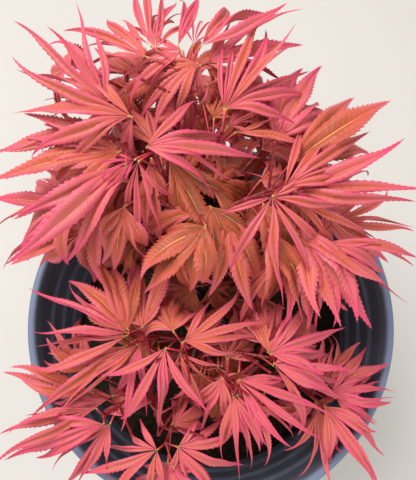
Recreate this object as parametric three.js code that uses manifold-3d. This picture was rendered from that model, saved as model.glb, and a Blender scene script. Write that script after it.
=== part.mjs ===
// A young Japanese maple in a black nursery pot: pot, potting soil, trunk, two leaders, their boughs,
// and a mass of palmate leaves at the end of every bough. Millimetres, +Z up. The origin is the middle
// of the pot's flat underside, +X is the right of the plant and -Y its front.
import * as THREE from "three";
import { mergeVertices } from "three/addons/utils/BufferGeometryUtils.js";
import Module from "manifold-3d";

const wasm = await Module();
wasm.setup();

// Driving dimensions of the pot and of what fills it.
const POT = {
  height: 235,
  rimRadius: 130,
  rimBand: 6,
  rimDepth: 10,
  baseRadius: 98,
  shoulderRadius: 114,
  wall: 2,
  floor: 3,
  steps: 3,
  stepOut: 2.6,
  stepRise: 3,
  stepLap: 0.6,
  sides: 36,
};
const DRAIN = { count: 8, radius: 6, circle: 80, sides: 8 };
const SOIL = { depthBelowRim: 70, mound: 5, ripple: 1.6, flatRadius: 20 };

// Driving dimensions of the wood. A heading is in degrees from +X, turning towards +Y.
const TRUNK = { height: 62, baseRadius: 6.5, topRadius: 3.6, leanHeading: 100, lean: 9, bow: 1.5, buried: 3 };
const FLARE = { gain: 0.9, height: 12, buttresses: 4, buttressGain: 0.25 };
const BOUGH = { rootRadius: 2.0, tipRadius: 1.45 };
const STEM = { length: 42, rootRadius: 1.4, tipRadius: 0.8, nodes: [0.96, 0.62, 0.28] };
const TWIG = { length: 24, radius: 0.9, beyond: 1.2 };
const STALK = { radius: 0.75, bow: 0.12 };
const CLEARANCE = 0.3;

// Driving dimensions of a leaf, as shares of the length of its middle lobe.
const LEAF = {
  lobeAngles: [0, 25, 54, 92],
  lobeLengths: [1, 0.92, 0.74, 0.44],
  halfWidth: 0.085,
  widestAt: 0.42,
  notch: 0.1,
  heel: 130,
  thickness: 0.02,
  fold: 0.3,
  pairsFrom: [0, 25, 54],
};

// A leaf keeps this far from its neighbours: radii of the balls that are strung along what has been placed.
const ROOM = { leaf: 0.015, rim: 0.2, stalk: 0.5, limb: 0.4, intoPot: 30 };
const LOBE_SHARES = [0.16, 0.3, 0.45, 0.6, 0.75, 0.9, 1];

const soilTop = POT.height - SOIL.depthBelowRim;
const up = new THREE.Vector3(0, 0, 1);
const radians = THREE.MathUtils.degToRad;

// The two leaders rise from the trunk's fork: the back one carries the high half of the crown.
const LEADERS = [
  { name: "leader_back", tip: [-19, 40, 311], radius: 3.1, tipRadius: 2.2 },
  { name: "leader_front", tip: [-8, -22, 268], radius: 2.8, tipRadius: 2.0 },
];

// One row a shoot: its name, the limb it springs from and how far along, its tip, the length of its
// longest lobe and the quarter turn in degrees that its leaf pairs start from.
const SHOOTS = [
  ["crown_left", "leader_back", 0.97, [-52, 88, 352], 74, 20],
  ["crown_back", "leader_back", 1.0, [-14, 114, 354], 70, 60],
  ["crown_right", "leader_back", 0.92, [42, 58, 340], 74, 15],
  ["crown_middle", "leader_back", 0.98, [6, 84, 346], 62, 75],
  ["back_left", "leader_back", 0.84, [-50, 126, 338], 70, 10],
  ["back_right", "leader_back", 0.8, [44, 100, 332], 70, 80],
  ["right_side", "leader_back", 0.68, [63, 24, 317], 70, 30],
  ["left_side", "leader_back", 0.6, [-70, 60, 322], 66, 50],
  ["crown_centre", "leader_back", 0.95, [-30, 68, 355], 60, 0],
  ["crown_front", "leader_back", 0.74, [-8, 44, 328], 62, 45],
  ["front_left", "leader_front", 0.93, [-48, -18, 285], 70, 70],
  ["front_middle", "leader_front", 1.0, [-18, -30, 291], 60, 5],
  ["front_right", "leader_front", 0.97, [38, -34, 285], 68, 35],
  ["front_low", "leader_front", 0.99, [14, -54, 280], 60, 85],
  ["low_left", "leader_front", 0.82, [-66, -68, 268], 70, 25],
  ["low_front", "leader_front", 0.9, [-28, -84, 264], 64, 65],
  ["low_right", "leader_front", 0.7, [76, -58, 250], 68, 45],
  ["back_skirt", "leader_back", 0.5, [-8, 104, 296], 62, 0],
  ["right_skirt", "leader_back", 0.44, [66, 64, 290], 62, 90],
  ["left_skirt", "leader_back", 0.38, [-66, 84, 288], 62, 55],
  ["inner", "leader_back", 0.14, [24, 20, 256], 36, 12],
].map(([name, parent, at, tip, lobe, turn]) => ({ name, parent, at, tip, lobe, turn: radians(turn) }));

// How a leaf that finds no room is tried again: turned, then hung lower or lifted, then smaller.
const TRIES = {
  turns: [0, 0.25, -0.25, 0.5, -0.5, 0.8, -0.8],
  hangs: [0, 0.25, -0.2, 0.6],
  sizes: [1, 0.88, 0.74],
};

// A repeatable stream of numbers from 0 to 1 (the mulberry32 generator).
function random(seed) {
  let state = seed >>> 0;
  return () => {
    state = (state + 0x6d2b79f5) >>> 0;
    let t = Math.imul(state ^ (state >>> 15), state | 1);
    t ^= t + Math.imul(t ^ (t >>> 7), t | 61);
    return ((t ^ (t >>> 14)) >>> 0) / 4294967296;
  };
}

// Solids and geometries.

function solidOf(geometry) {
  const bare = geometry.index ? geometry.toNonIndexed() : geometry.clone();
  bare.deleteAttribute("normal");
  bare.deleteAttribute("uv");
  const merged = mergeVertices(bare, 1e-4);
  return new wasm.Manifold(
    new wasm.Mesh({
      numProp: 3,
      vertProperties: new Float32Array(merged.attributes.position.array),
      triVerts: new Uint32Array(merged.index.array),
    }),
  );
}

function solidOfFaces(vertices, faces) {
  return new wasm.Manifold(
    new wasm.Mesh({
      numProp: 3,
      vertProperties: new Float32Array(vertices.flatMap((v) => [v.x, v.y, v.z])),
      triVerts: new Uint32Array(faces.flat()),
    }),
  );
}

function geometryOf(solid) {
  const mesh = solid.getMesh();
  const geometry = new THREE.BufferGeometry();
  geometry.setAttribute("position", new THREE.BufferAttribute(mesh.vertProperties, 3));
  geometry.setIndex(new THREE.BufferAttribute(mesh.triVerts, 1));
  const flat = geometry.toNonIndexed();
  flat.computeVertexNormals();
  return flat;
}

// The largest body of a solid: drops the crumbs and sealed hollows that joining can leave.
function largestBody(solid) {
  const bodies = solid.decompose();
  return bodies.reduce((best, body) => (body.volume() > best.volume() ? body : best));
}

// A tapering tube along a curve: rings of points across the curve, at even steps of its parameter.
function tube(curve, radiusAt, sides, rings) {
  const vertices = [];
  const faces = [];
  let normal = new THREE.Vector3(1, 0, 0);
  for (let i = 0; i <= rings; i++) {
    const centre = curve.getPoint(i / rings);
    const along = curve.getTangent(i / rings);
    normal = normal.clone().addScaledVector(along, -along.dot(normal)).normalize();
    const binormal = new THREE.Vector3().crossVectors(along, normal);
    for (let j = 0; j < sides; j++) {
      const angle = (2 * Math.PI * j) / sides;
      const radius = radiusAt(i / rings, angle);
      vertices.push(
        centre
          .clone()
          .addScaledVector(normal, radius * Math.cos(angle))
          .addScaledVector(binormal, radius * Math.sin(angle)),
      );
      if (i === rings) continue;
      const a = i * sides + j;
      const b = i * sides + ((j + 1) % sides);
      faces.push([a, b, b + sides], [a, b + sides, a + sides]);
    }
  }
  const last = rings * sides;
  for (let j = 1; j + 1 < sides; j++) faces.push([0, j + 1, j], [last, last + j, last + j + 1]);
  return solidOfFaces(vertices, faces);
}

// The stretch of a cubic curve between two values of its parameter, as a curve of its own.
function stretch(curve, from, to) {
  const third = (to - from) / 3;
  const start = curve.getPoint(from);
  const end = curve.getPoint(to);
  return new THREE.CubicBezierCurve3(
    start,
    start.clone().addScaledVector(slope(curve, from), third),
    end.clone().addScaledVector(slope(curve, to), -third),
    end,
  );
}

// How fast a cubic curve runs, as a vector for each unit of its parameter.
function slope(curve, t) {
  const legs = [curve.v1.clone().sub(curve.v0), curve.v2.clone().sub(curve.v1), curve.v3.clone().sub(curve.v2)];
  const shares = [3 * (1 - t) ** 2, 6 * t * (1 - t), 3 * t ** 2];
  return legs.reduce((sum, leg, i) => sum.addScaledVector(leg, shares[i]), new THREE.Vector3());
}

// Pot and soil.

const STEPS_ABOVE_SOIL = 5;

// The outside of the wall from the foot up: a straight taper to above the soil, then steps outwards.
function potOutline() {
  const start = soilTop + STEPS_ABOVE_SOIL;
  const top = POT.height - POT.rimDepth;
  const pitch = (top - start) / POT.steps;
  const outline = [
    [POT.baseRadius - 2, 0],
    [POT.baseRadius, 2],
    [POT.shoulderRadius, start],
  ];
  let radius = POT.shoulderRadius;
  for (let i = 0; i < POT.steps; i++) {
    radius += POT.stepOut;
    outline.push([radius, start + i * pitch + POT.stepRise]);
    radius += 0.8;
    outline.push([radius, start + (i + 1) * pitch]);
  }
  return outline;
}

function potSolid() {
  const outside = potOutline();
  const { rimRadius: rim, height, rimBand, rimDepth, wall, floor } = POT;
  const inside = outside
    .slice(2)
    .map(([radius, z]) => [radius - wall, z + POT.stepLap])
    .reverse();
  const lip = [
    [rim - 1, height - rimDepth],
    [rim, height - rimDepth + 1.5],
    [rim, height - 2],
    [rim - 1.5, height],
    [rim - rimBand + 1.5, height],
    [rim - rimBand, height - 1.5],
  ];
  const profile = [[0, 0], ...outside, ...lip, ...inside, [POT.baseRadius - wall, floor], [0, floor]];
  const points = profile.map(([radius, z]) => new THREE.Vector2(radius, z));
  let pot = solidOf(new THREE.LatheGeometry(points, POT.sides).rotateX(Math.PI / 2));
  for (let i = 0; i < DRAIN.count; i++) {
    const angle = (2 * Math.PI * i) / DRAIN.count;
    const hole = new THREE.CylinderGeometry(DRAIN.radius, DRAIN.radius, 4 * floor, DRAIN.sides)
      .rotateX(Math.PI / 2)
      .translate(DRAIN.circle * Math.cos(angle), DRAIN.circle * Math.sin(angle), 0);
    pot = pot.subtract(solidOf(hole));
  }
  return pot;
}

// The soil's surface: a low mound with ripples that die away under the trunk.
function soilHeight(x, y) {
  const radius = Math.hypot(x, y);
  const away = THREE.MathUtils.smoothstep(radius, SOIL.flatRadius, 2 * SOIL.flatRadius);
  const fall = SOIL.mound * (radius / POT.shoulderRadius) ** 2;
  const ripple = SOIL.ripple * (Math.sin(x / 11 + 1) * Math.cos(y / 13) + Math.sin((x - y) / 7) * 0.4);
  return soilTop - away * (fall - ripple);
}

// The pot's inner radius below the steps.
function boreRadius(z) {
  const share = (z - POT.floor) / (soilTop + STEPS_ABOVE_SOIL + POT.stepLap - POT.floor);
  return THREE.MathUtils.lerp(POT.baseRadius, POT.shoulderRadius, share) - POT.wall;
}

function soilSolid() {
  const bottom = POT.floor + CLEARANCE;
  const shoulder = soilTop - 2 * SOIL.mound;
  const edge = boreRadius(shoulder) - CLEARANCE;
  const profile = [[0, bottom], [boreRadius(bottom) - CLEARANCE, bottom], [edge, shoulder]];
  for (let share = 0.985; share > 0.1; share -= 0.175) profile.push([edge * share, soilTop]);
  profile.push([0, soilTop]);
  const points = profile.map(([radius, z]) => new THREE.Vector2(radius, z));
  const soil = new THREE.LatheGeometry(points, POT.sides).rotateX(Math.PI / 2);
  const position = soil.attributes.position;
  for (let i = 0; i < position.count; i++) {
    if (position.getZ(i) === soilTop) position.setZ(i, soilHeight(position.getX(i), position.getY(i)));
  }
  return solidOf(soil);
}

// Wood.

function trunkCurve() {
  const foot = new THREE.Vector3(0, 0, soilTop - TRUNK.buried);
  const heading = radians(TRUNK.leanHeading);
  const top = new THREE.Vector3(Math.cos(heading), Math.sin(heading), 0).multiplyScalar(TRUNK.lean);
  top.z = soilTop + TRUNK.height;
  const middle = foot.clone().lerp(top, 0.5).add(new THREE.Vector3(TRUNK.bow, -TRUNK.bow, 0));
  return new THREE.QuadraticBezierCurve3(foot, middle, top);
}

// The root flare swells into low buttresses at the soil and is gone at its own height.
function trunkRadius(share, angle) {
  const above = Math.max(0, share * (TRUNK.height + TRUNK.buried) - TRUNK.buried);
  const low = Math.max(0, 1 - above / FLARE.height);
  const swell = FLARE.gain * low ** 2 * (1 + FLARE.buttressGain * Math.cos(FLARE.buttresses * angle));
  return THREE.MathUtils.lerp(TRUNK.baseRadius, TRUNK.topRadius, share) * (1 + swell);
}

// The trunk stands on the soil by a flat cut.
function trunkSolid(grown = 0) {
  const ground = new THREE.BoxGeometry(100, 100, 100).translate(0, 0, soilTop + CLEARANCE - 50);
  const solid = tube(trunkCurve(), (share, angle) => trunkRadius(share, angle) + grown, 10, 10);
  return grown ? solid : solid.subtract(solidOf(ground));
}

// A limb's curve leaves its parent along the parent's own run, then rises and bends over to its tip.
function limbCurve(parentCurve, at, tip) {
  const start = parentCurve.getPoint(at);
  const end = new THREE.Vector3(...tip);
  const span = start.distanceTo(end);
  const outward = end.clone().sub(start).normalize();
  const leave = parentCurve.getTangent(at).multiplyScalar(0.55).add(outward).normalize();
  const arrive = new THREE.Vector3(end.x - start.x, end.y - start.y, 0).normalize().multiplyScalar(0.7).add(up);
  return new THREE.CubicBezierCurve3(
    start,
    start.clone().addScaledVector(leave, span * 0.35),
    end.clone().addScaledVector(arrive.normalize(), -span * 0.3),
    end,
  );
}

// Limbs by name, each with its curve and a solid that is cut clear of the limbs it springs from.
const limbs = new Map();

function addLimb(name, curve, radius, tipRadius, sides, rings, earlier) {
  const radiusAt = (share) => THREE.MathUtils.lerp(radius, tipRadius, share);
  const whole = tube(curve, radiusAt, sides, rings);
  const grown = tube(curve, (share) => radiusAt(share) + CLEARANCE, sides, rings);
  limbs.set(name, { curve, solid: largestBody(whole.subtract(earlier)) });
  return earlier.add(grown);
}

function buildLimbs() {
  limbs.set("trunk", { curve: trunkCurve(), solid: trunkSolid() });
  let wood = trunkSolid(CLEARANCE);
  for (const { name, tip, radius, tipRadius } of LEADERS) {
    wood = addLimb(name, limbCurve(trunkCurve(), 0.97, tip), radius, tipRadius, 7, 7, wood);
  }
  for (const shoot of SHOOTS) {
    const curve = limbCurve(limbs.get(shoot.parent).curve, shoot.at, shoot.tip);
    const boughEnd = Math.max(0.35, 1 - STEM.length / curve.getLength());
    const gap = (CLEARANCE + 0.05) / slope(curve, boughEnd).length();
    shoot.bough = stretch(curve, 0, boughEnd);
    shoot.stem = stretch(curve, boughEnd + gap, 1);
    wood = addLimb("bough_" + shoot.name, shoot.bough, BOUGH.rootRadius, BOUGH.tipRadius, 5, 4, wood);
  }
  return wood;
}

// The rule of the crown. It is plain arithmetic on points: which leaves there are and how they hang.

// The middle line of the crown leans back with the back leader.
function crownMiddle(z) {
  const share = (z - soilTop) / 190;
  return new THREE.Vector3(-10 * share, 60 * share - 20, z);
}

// Leaves stand in opposite pairs. The outer a pair is, the more it looks outwards and hangs.
function leafPair(node, axis, turn, lobe, age, draw) {
  const outward = node.clone().sub(crownMiddle(node.z)).divideScalar(75).clampLength(0, 1);
  const hang = outward.length();
  const across = new THREE.Vector3().crossVectors(axis, up).normalize();
  return [0, Math.PI].map((flip) => {
    const facing = across.clone().applyAxisAngle(axis, turn + flip).setZ(0).normalize();
    facing.addScaledVector(outward, 0.9);
    const size = lobe * (0.9 + 0.2 * draw());
    return {
      node,
      heading: Math.atan2(facing.y, facing.x),
      pitch: 0.1 + 0.22 * age + 0.16 * draw() + 0.25 * hang,
      roll: 0.4 * (draw() - 0.5),
      rise: 0.2 + 0.5 * draw(),
      stalk: size * (0.18 + 0.12 * draw()),
      droop: 0.12 + 0.25 * draw(),
      lobe: size,
    };
  });
}

// Walks one shoot: pairs at its nodes from the tip down, each a quarter turn on, then the pairs at the
// ends of the twigs that spring from the lower nodes.
function shootSites(shoot, index) {
  const draw = random(1009 + 77 * index);
  const layers = [[], [], [], [], []];
  const twigs = [];
  STEM.nodes.forEach((share, k) => {
    const node = shoot.stem.getPoint(share);
    const axis = shoot.stem.getTangent(share);
    const turn = shoot.turn + (k * Math.PI) / 2;
    const pair = leafPair(node, axis, turn, shoot.lobe * (0.88 + 0.06 * k), k, draw);
    layers[k].push(...pair);
    if (k === 0) return;
    const { heading } = pair[k - 1];
    const out = new THREE.Vector3(Math.cos(heading + 0.8), Math.sin(heading + 0.8), 0.7).normalize();
    const end = node.clone().addScaledVector(out, TWIG.length * (0.85 + 0.3 * draw()));
    twigs.push({ from: node, to: end.clone().addScaledVector(out, TWIG.beyond), shoot });
    layers[2 + k].push(...leafPair(end, out, turn + 0.7, shoot.lobe * 0.9, 1 + k, draw));
  });
  for (const leaf of layers.flat()) leaf.shoot = shoot;
  return { layers, twigs };
}

// The leaf's frame: its middle lobe runs along a heading and is pitched down, and it may roll a little.
function placed(site, turn, hang, size) {
  const heading = site.heading + turn;
  const pitch = Math.min(1.5, site.pitch + hang);
  const rise = site.rise - 0.6 * hang;
  const out = new THREE.Vector3(Math.cos(heading), Math.sin(heading), 0);
  const base = site.node.clone();
  base.addScaledVector(out, site.stalk * Math.cos(rise)).addScaledVector(up, site.stalk * Math.sin(rise));
  const x = out.clone().multiplyScalar(Math.cos(pitch)).addScaledVector(up, -Math.sin(pitch));
  const z = out.clone().multiplyScalar(Math.sin(pitch)).addScaledVector(up, Math.cos(pitch));
  const frame = new THREE.Matrix4().makeBasis(x, z.clone().cross(x), z);
  frame.multiply(new THREE.Matrix4().makeRotationX(site.roll)).setPosition(base);
  return { ...site, base, frame, lobe: site.lobe * size };
}

function lobesOf(leaf) {
  const pairs = LEAF.pairsFrom.filter((length) => leaf.lobe >= length).length;
  const lobes = [];
  for (let k = -pairs; k <= pairs; k++) {
    const share = LEAF.lobeLengths[Math.abs(k)];
    lobes.push({ angle: Math.sign(k) * radians(LEAF.lobeAngles[Math.abs(k)]), share });
  }
  return lobes;
}

// Balls along the lobes and the stalk of a leaf, to keep other leaves off it.
function ballsOf(leaf) {
  const balls = [];
  for (const { angle, share } of lobesOf(leaf)) {
    for (const s of LOBE_SHARES) {
      const reach = leaf.lobe * share * s;
      const point = new THREE.Vector3(Math.cos(angle), Math.sin(angle), -leaf.droop * s).multiplyScalar(reach);
      const taper = 1 - Math.abs(s - LEAF.widestAt);
      balls.push({ point: point.applyMatrix4(leaf.frame), radius: ROOM.rim + ROOM.leaf * leaf.lobe * taper * share });
    }
  }
  balls.push({ point: leaf.base, radius: ROOM.rim + ROOM.leaf * leaf.lobe });
  for (const s of [0.45, 0.75]) balls.push({ point: leaf.node.clone().lerp(leaf.base, s), radius: ROOM.stalk });
  return balls;
}

function curveBalls(curve, radius, steps) {
  const balls = [];
  for (let i = 0; i <= steps; i++) balls.push({ point: curve.getPoint(i / steps), radius: radius + ROOM.limb });
  return balls;
}

function inTheClear(balls, taken) {
  return balls.every((a) =>
    taken.every((b) => {
      const reach = a.radius + b.radius;
      const dx = a.point.x - b.point.x;
      const dy = a.point.y - b.point.y;
      const dz = a.point.z - b.point.z;
      return dx * dx + dy * dy + dz * dz > reach * reach;
    }),
  );
}

// The first try of a site that has room by the balls and also passes the closer look.
function firstThatFits(site, taken, closerLook) {
  for (const size of TRIES.sizes) {
    for (const hang of TRIES.hangs) {
      for (const turn of TRIES.turns) {
        const leaf = placed(site, turn, hang, size);
        const balls = ballsOf(leaf);
        const high = balls.every(({ point }) => point.z > POT.height - ROOM.intoPot);
        if (high && inTheClear(balls, taken) && closerLook(leaf)) return { leaf, balls };
      }
    }
  }
  return null;
}

// Solids of the crown.

// A palmate leaf as a closed lens: the outline is sharp and the thickness is gathered at its middle.
function leafSolid(leaf, grow = 0) {
  const vertices = [];
  const faces = [];
  const put = (x, y, z) => vertices.push(new THREE.Vector3(x, y, z).applyMatrix4(leaf.frame)) - 1;
  const half = (LEAF.thickness * leaf.lobe) / 2 + grow;
  const top = put(0, 0, half);
  const bottom = put(0, 0, -half);
  const lobes = lobesOf(leaf);
  const notch = LEAF.notch * leaf.lobe + grow;
  const between = (angle) => put(notch * Math.cos(angle), notch * Math.sin(angle), 0);
  const notches = [between(-radians(LEAF.heel))];
  for (let k = 1; k < lobes.length; k++) notches.push(between((lobes[k - 1].angle + lobes[k].angle) / 2));
  notches.push(between(radians(LEAF.heel)));
  const ring = [];
  lobes.forEach(({ angle, share }, k) => {
    const reach = leaf.lobe * share + grow;
    const wide = LEAF.halfWidth * leaf.lobe * (0.5 + 0.5 * share) + grow;
    const point = (s, side, lift) => {
      const x = s * reach * Math.cos(angle) - side * Math.sin(angle);
      const y = s * reach * Math.sin(angle) + side * Math.cos(angle);
      return put(x, y, lift - leaf.droop * s * reach);
    };
    const at = LEAF.widestAt;
    ring.push(notches[k], point(at, -wide, LEAF.fold * wide), point(1, 0, 0), point(at, wide, LEAF.fold * wide));
  });
  ring.push(notches.at(-1));
  ring.forEach((corner, i) => {
    const next = ring[(i + 1) % ring.length];
    faces.push([top, corner, next], [bottom, next, corner]);
  });
  return solidOfFaces(vertices, faces);
}

// The stalk of a leaf: three-sided, from inside the twig to a fine end inside the back of the leaf.
function stalkSolid(leaf, from = 0) {
  const end = new THREE.Vector3(-0.3 * LEAF.notch * leaf.lobe, 0, 0).applyMatrix4(leaf.frame);
  const middle = leaf.node.clone().lerp(end, 0.5).addScaledVector(up, STALK.bow * leaf.node.distanceTo(end));
  const curve = new THREE.QuadraticBezierCurve3(leaf.node, middle, end);
  const tipRadius = 0.2 * LEAF.thickness * leaf.lobe;
  const radiusAt = (t) => THREE.MathUtils.lerp(STALK.radius, tipRadius, from + t * (1 - from));
  const rest = { getPoint: (t) => curve.getPoint(from + t * (1 - from)), getTangent: (t) => curve.getTangent(t) };
  return tube(rest, radiusAt, 3, 1);
}

function boxesMeet(a, b) {
  return [0, 1, 2].every((i) => a.min[i] <= b.max[i] && b.min[i] <= a.max[i]);
}

// Pieces that have been placed, each kept clear of the limbs and of all other pieces.
const pieces = [];

function keep(shoot, kind, solid) {
  pieces.push({ shoot, kind, solid, box: solid.boundingBox() });
}

function meets(solid, counts) {
  const box = solid.boundingBox();
  return pieces.some((p) => counts(p) && boxesMeet(p.box, box) && !p.solid.intersect(solid).isEmpty());
}

function keepStems() {
  const radiusAt = (share) => THREE.MathUtils.lerp(STEM.rootRadius, STEM.tipRadius, share);
  for (const shoot of SHOOTS) keep(shoot, "wood", tube(shoot.stem, radiusAt, 4, 4));
}

function keepTwig({ from, to, shoot }, obstacles) {
  const twig = tube(new THREE.LineCurve3(from, to), () => TWIG.radius, 3, 1);
  if (!twig.intersect(obstacles).isEmpty() || meets(twig, (p) => p.shoot !== shoot)) return;
  keep(shoot, "wood", twig);
}

// Keeps a leaf if it is rooted in its own shoot's wood and touches nothing else.
function keepLeaf(leaf, obstacles) {
  const own = (p) => p.shoot === leaf.shoot;
  const stalk = stalkSolid(leaf);
  if (!meets(stalk, (p) => own(p) && p.kind === "wood") || meets(stalk, (p) => !own(p))) return false;
  if (meets(stalkSolid(leaf, 0.3), (p) => own(p) && p.kind === "leaf")) return false;
  const grown = leafSolid(leaf, CLEARANCE);
  if (meets(grown, () => true) || !grown.add(stalk).intersect(obstacles).isEmpty()) return false;
  keep(leaf.shoot, "leaf", leafSolid(leaf).add(stalk));
  return true;
}

// Every mass of the crown. Tip pairs of all shoots are placed first, then the next pairs down, then twigs'.
function growCrown(obstacles) {
  keepStems();
  const grown = SHOOTS.map(shootSites);
  grown.flatMap(({ twigs }) => twigs).forEach((twig) => keepTwig(twig, obstacles));
  const taken = LEADERS.flatMap(({ name }) => curveBalls(limbs.get(name).curve, 3, 30));
  for (const shoot of SHOOTS) {
    taken.push(...curveBalls(shoot.bough, BOUGH.rootRadius, 14), ...curveBalls(shoot.stem, STEM.rootRadius, 8));
  }
  for (let layer = 0; layer < 5; layer++) {
    for (const { layers } of grown) {
      for (const site of layers[layer]) {
        const found = firstThatFits(site, taken, (leaf) => keepLeaf(leaf, obstacles));
        if (found) taken.push(...found.balls);
      }
    }
  }
  return SHOOTS.map((shoot) => {
    const own = pieces.filter((p) => p.shoot === shoot).map((p) => p.solid);
    return { name: "leaves_" + shoot.name, solid: largestBody(wasm.Manifold.union(own)) };
  });
}

// The whole plant.

function mesh(name, solid, material) {
  const made = new THREE.Mesh(geometryOf(solid), material);
  made.name = name;
  return made;
}

const plastic = new THREE.MeshStandardMaterial({ color: 0x23262c, roughness: 0.45, metalness: 0 });
const compost = new THREE.MeshStandardMaterial({ color: 0x2a2119, roughness: 0.95, metalness: 0 });
const bark = new THREE.MeshStandardMaterial({ color: 0x5d4637, roughness: 0.8, metalness: 0 });
const youngBark = new THREE.MeshStandardMaterial({ color: 0x7a2333, roughness: 0.55, metalness: 0 });
const leafRed = new THREE.MeshStandardMaterial({ color: 0xd9564e, roughness: 0.5, metalness: 0 });

const plant = new THREE.Group();
const pot = potSolid();
const soil = soilSolid();
const wood = buildLimbs();
plant.add(mesh("pot", pot, plastic), mesh("soil", soil, compost));
for (const [name, limb] of limbs) {
  plant.add(mesh(name, limb.solid, name.startsWith("bough") ? youngBark : bark));
}
for (const { name, solid } of growCrown(wood.add(pot).add(soil))) plant.add(mesh(name, solid, leafRed));

export default plant;
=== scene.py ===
# %% [markdown]
# A young Japanese maple in a black nursery pot
#
# The plant was packed as plain solids: a pot, potting soil, a trunk, two leaders, their boughs and one
# simple mass of leaves at the end of every bough. This lesson dresses that frame. Everything that can be
# worked out as a surface is a numpy grid, so that a shape is one formula and a few named sizes.
# Lengths are in millimetres until a mesh is made, and the origin is the middle of the pot's underside.

# %% Load the frame
import itertools
import math

import bmesh
import bpy
import numpy as np
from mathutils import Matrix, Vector


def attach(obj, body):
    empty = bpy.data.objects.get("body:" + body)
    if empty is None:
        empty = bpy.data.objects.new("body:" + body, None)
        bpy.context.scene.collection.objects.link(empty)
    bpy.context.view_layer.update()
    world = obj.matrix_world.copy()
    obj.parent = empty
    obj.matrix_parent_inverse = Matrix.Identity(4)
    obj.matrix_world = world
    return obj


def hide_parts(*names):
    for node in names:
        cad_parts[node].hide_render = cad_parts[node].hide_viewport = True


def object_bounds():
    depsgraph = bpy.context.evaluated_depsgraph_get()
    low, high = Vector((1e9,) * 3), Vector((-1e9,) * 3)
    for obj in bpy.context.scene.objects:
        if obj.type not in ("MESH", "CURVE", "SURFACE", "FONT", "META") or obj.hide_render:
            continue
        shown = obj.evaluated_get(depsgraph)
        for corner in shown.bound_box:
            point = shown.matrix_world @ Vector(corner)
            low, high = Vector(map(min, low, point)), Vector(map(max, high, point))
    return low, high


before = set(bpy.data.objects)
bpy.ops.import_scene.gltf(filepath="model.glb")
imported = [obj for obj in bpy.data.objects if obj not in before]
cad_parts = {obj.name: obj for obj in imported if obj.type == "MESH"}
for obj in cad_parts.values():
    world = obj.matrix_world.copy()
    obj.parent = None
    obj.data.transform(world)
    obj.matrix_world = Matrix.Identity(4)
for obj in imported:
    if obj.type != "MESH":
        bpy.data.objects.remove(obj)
cad_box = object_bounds()
MM = 0.001
UP = np.array([0.0, 0.0, 1.0])
LEVEL = (1, 1, 0)
print("nodes in the frame:", len(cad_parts))

# %% [markdown]
# Camera
#
# The plant was seen from close above, almost straight down. A camera is an eye and a direction. It could
# be fitted by eye in the viewport, but numbers are better, because the pot's rim is a circle of known size
# and its outline fixes where the eye was.

# %% Camera
EYE = (-0.002, -0.046, 0.590)
LOOK_DOWN = 74.4
LENS = 37.5

camera_data = bpy.data.cameras.new("camera")
camera_data.lens = LENS
camera_data.clip_start = 0.01
camera = bpy.data.objects.new("camera", camera_data)
camera.location = EYE
camera.rotation_euler = (math.radians(90 - LOOK_DOWN), 0, 0)
bpy.context.collection.objects.link(camera)
bpy.context.scene.camera = camera
print("camera height:", camera.location.z)

# %% [markdown]
# Light
#
# A grey sky lights leaves from all sides and leaves only soft shadows between them. A large lamp above and
# behind does the same in a studio, with a weaker one in front and the world as fill. Blender's default
# view would dull saturated reds, so the Standard one is used.

# %% Light
CROWN_HEART = (0, 0, 0.25)
SKY_COLOUR = (1.0, 0.97, 0.95, 1)
SKY_STRENGTH = 0.66


def add_lamp(name, place, side, power, colour):
    """Adds a square lamp that faces the crown."""
    data = bpy.data.lights.new(name, "AREA")
    data.size = side
    data.energy = power
    data.color = colour
    lamp = bpy.data.objects.new(name, data)
    lamp.location = place
    lamp.rotation_euler = (Vector(CROWN_HEART) - lamp.location).to_track_quat("-Z", "Y").to_euler()
    bpy.context.collection.objects.link(lamp)


add_lamp("key_lamp", place=(-0.5, 0.45, 1.4), side=0.7, power=14.5, colour=(1.0, 0.985, 0.97))
add_lamp("front_lamp", place=(0.5, -1.1, 0.9), side=0.8, power=5, colour=(0.97, 0.98, 1.0))
world = bpy.data.worlds.new("studio")
world.use_nodes = True
background = world.node_tree.nodes["Background"]
background.inputs["Color"].default_value = SKY_COLOUR
background.inputs["Strength"].default_value = SKY_STRENGTH
bpy.context.scene.world = world
bpy.context.scene.view_settings.view_transform = "Standard"
print("sky strength:", SKY_STRENGTH)

# %% [markdown]
# Materials as formulas
#
# A finish is a small sum: a base, plus a mask times a change. Nodes can be dragged together by hand, but
# a formula is easier to read back. Value wraps one socket, so that 1 - mask or mask * 0.3 adds the Math
# node it stands for, and Finish adds every other node by one method.

# %% Material helpers
class Value:
    """A number that a node gives. Arithmetic on it adds Math nodes."""

    def __init__(self, finish, socket):
        self.finish = finish
        self.socket = socket

    def math(self, operation, *values):
        """Adds a Math node that works on the values in their order."""
        return self.finish.node("ShaderNodeMath", {"operation": operation}, dict(enumerate(values)))

    def __add__(self, other):
        return self.math("ADD", self, other)

    def __sub__(self, other):
        return self.math("SUBTRACT", self, other)

    def __rsub__(self, other):
        return self.math("SUBTRACT", other, self)

    def __mul__(self, other):
        return self.math("MULTIPLY", self, other)

    __radd__ = __add__
    __rmul__ = __mul__

    def within(self, low, high):
        """0 below low, 1 above high, smooth between them."""
        settings = {"interpolation_type": "SMOOTHSTEP"}
        sockets = {"Value": self, "From Min": low, "From Max": high}
        return self.finish.node("ShaderNodeMapRange", settings, sockets)


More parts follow.
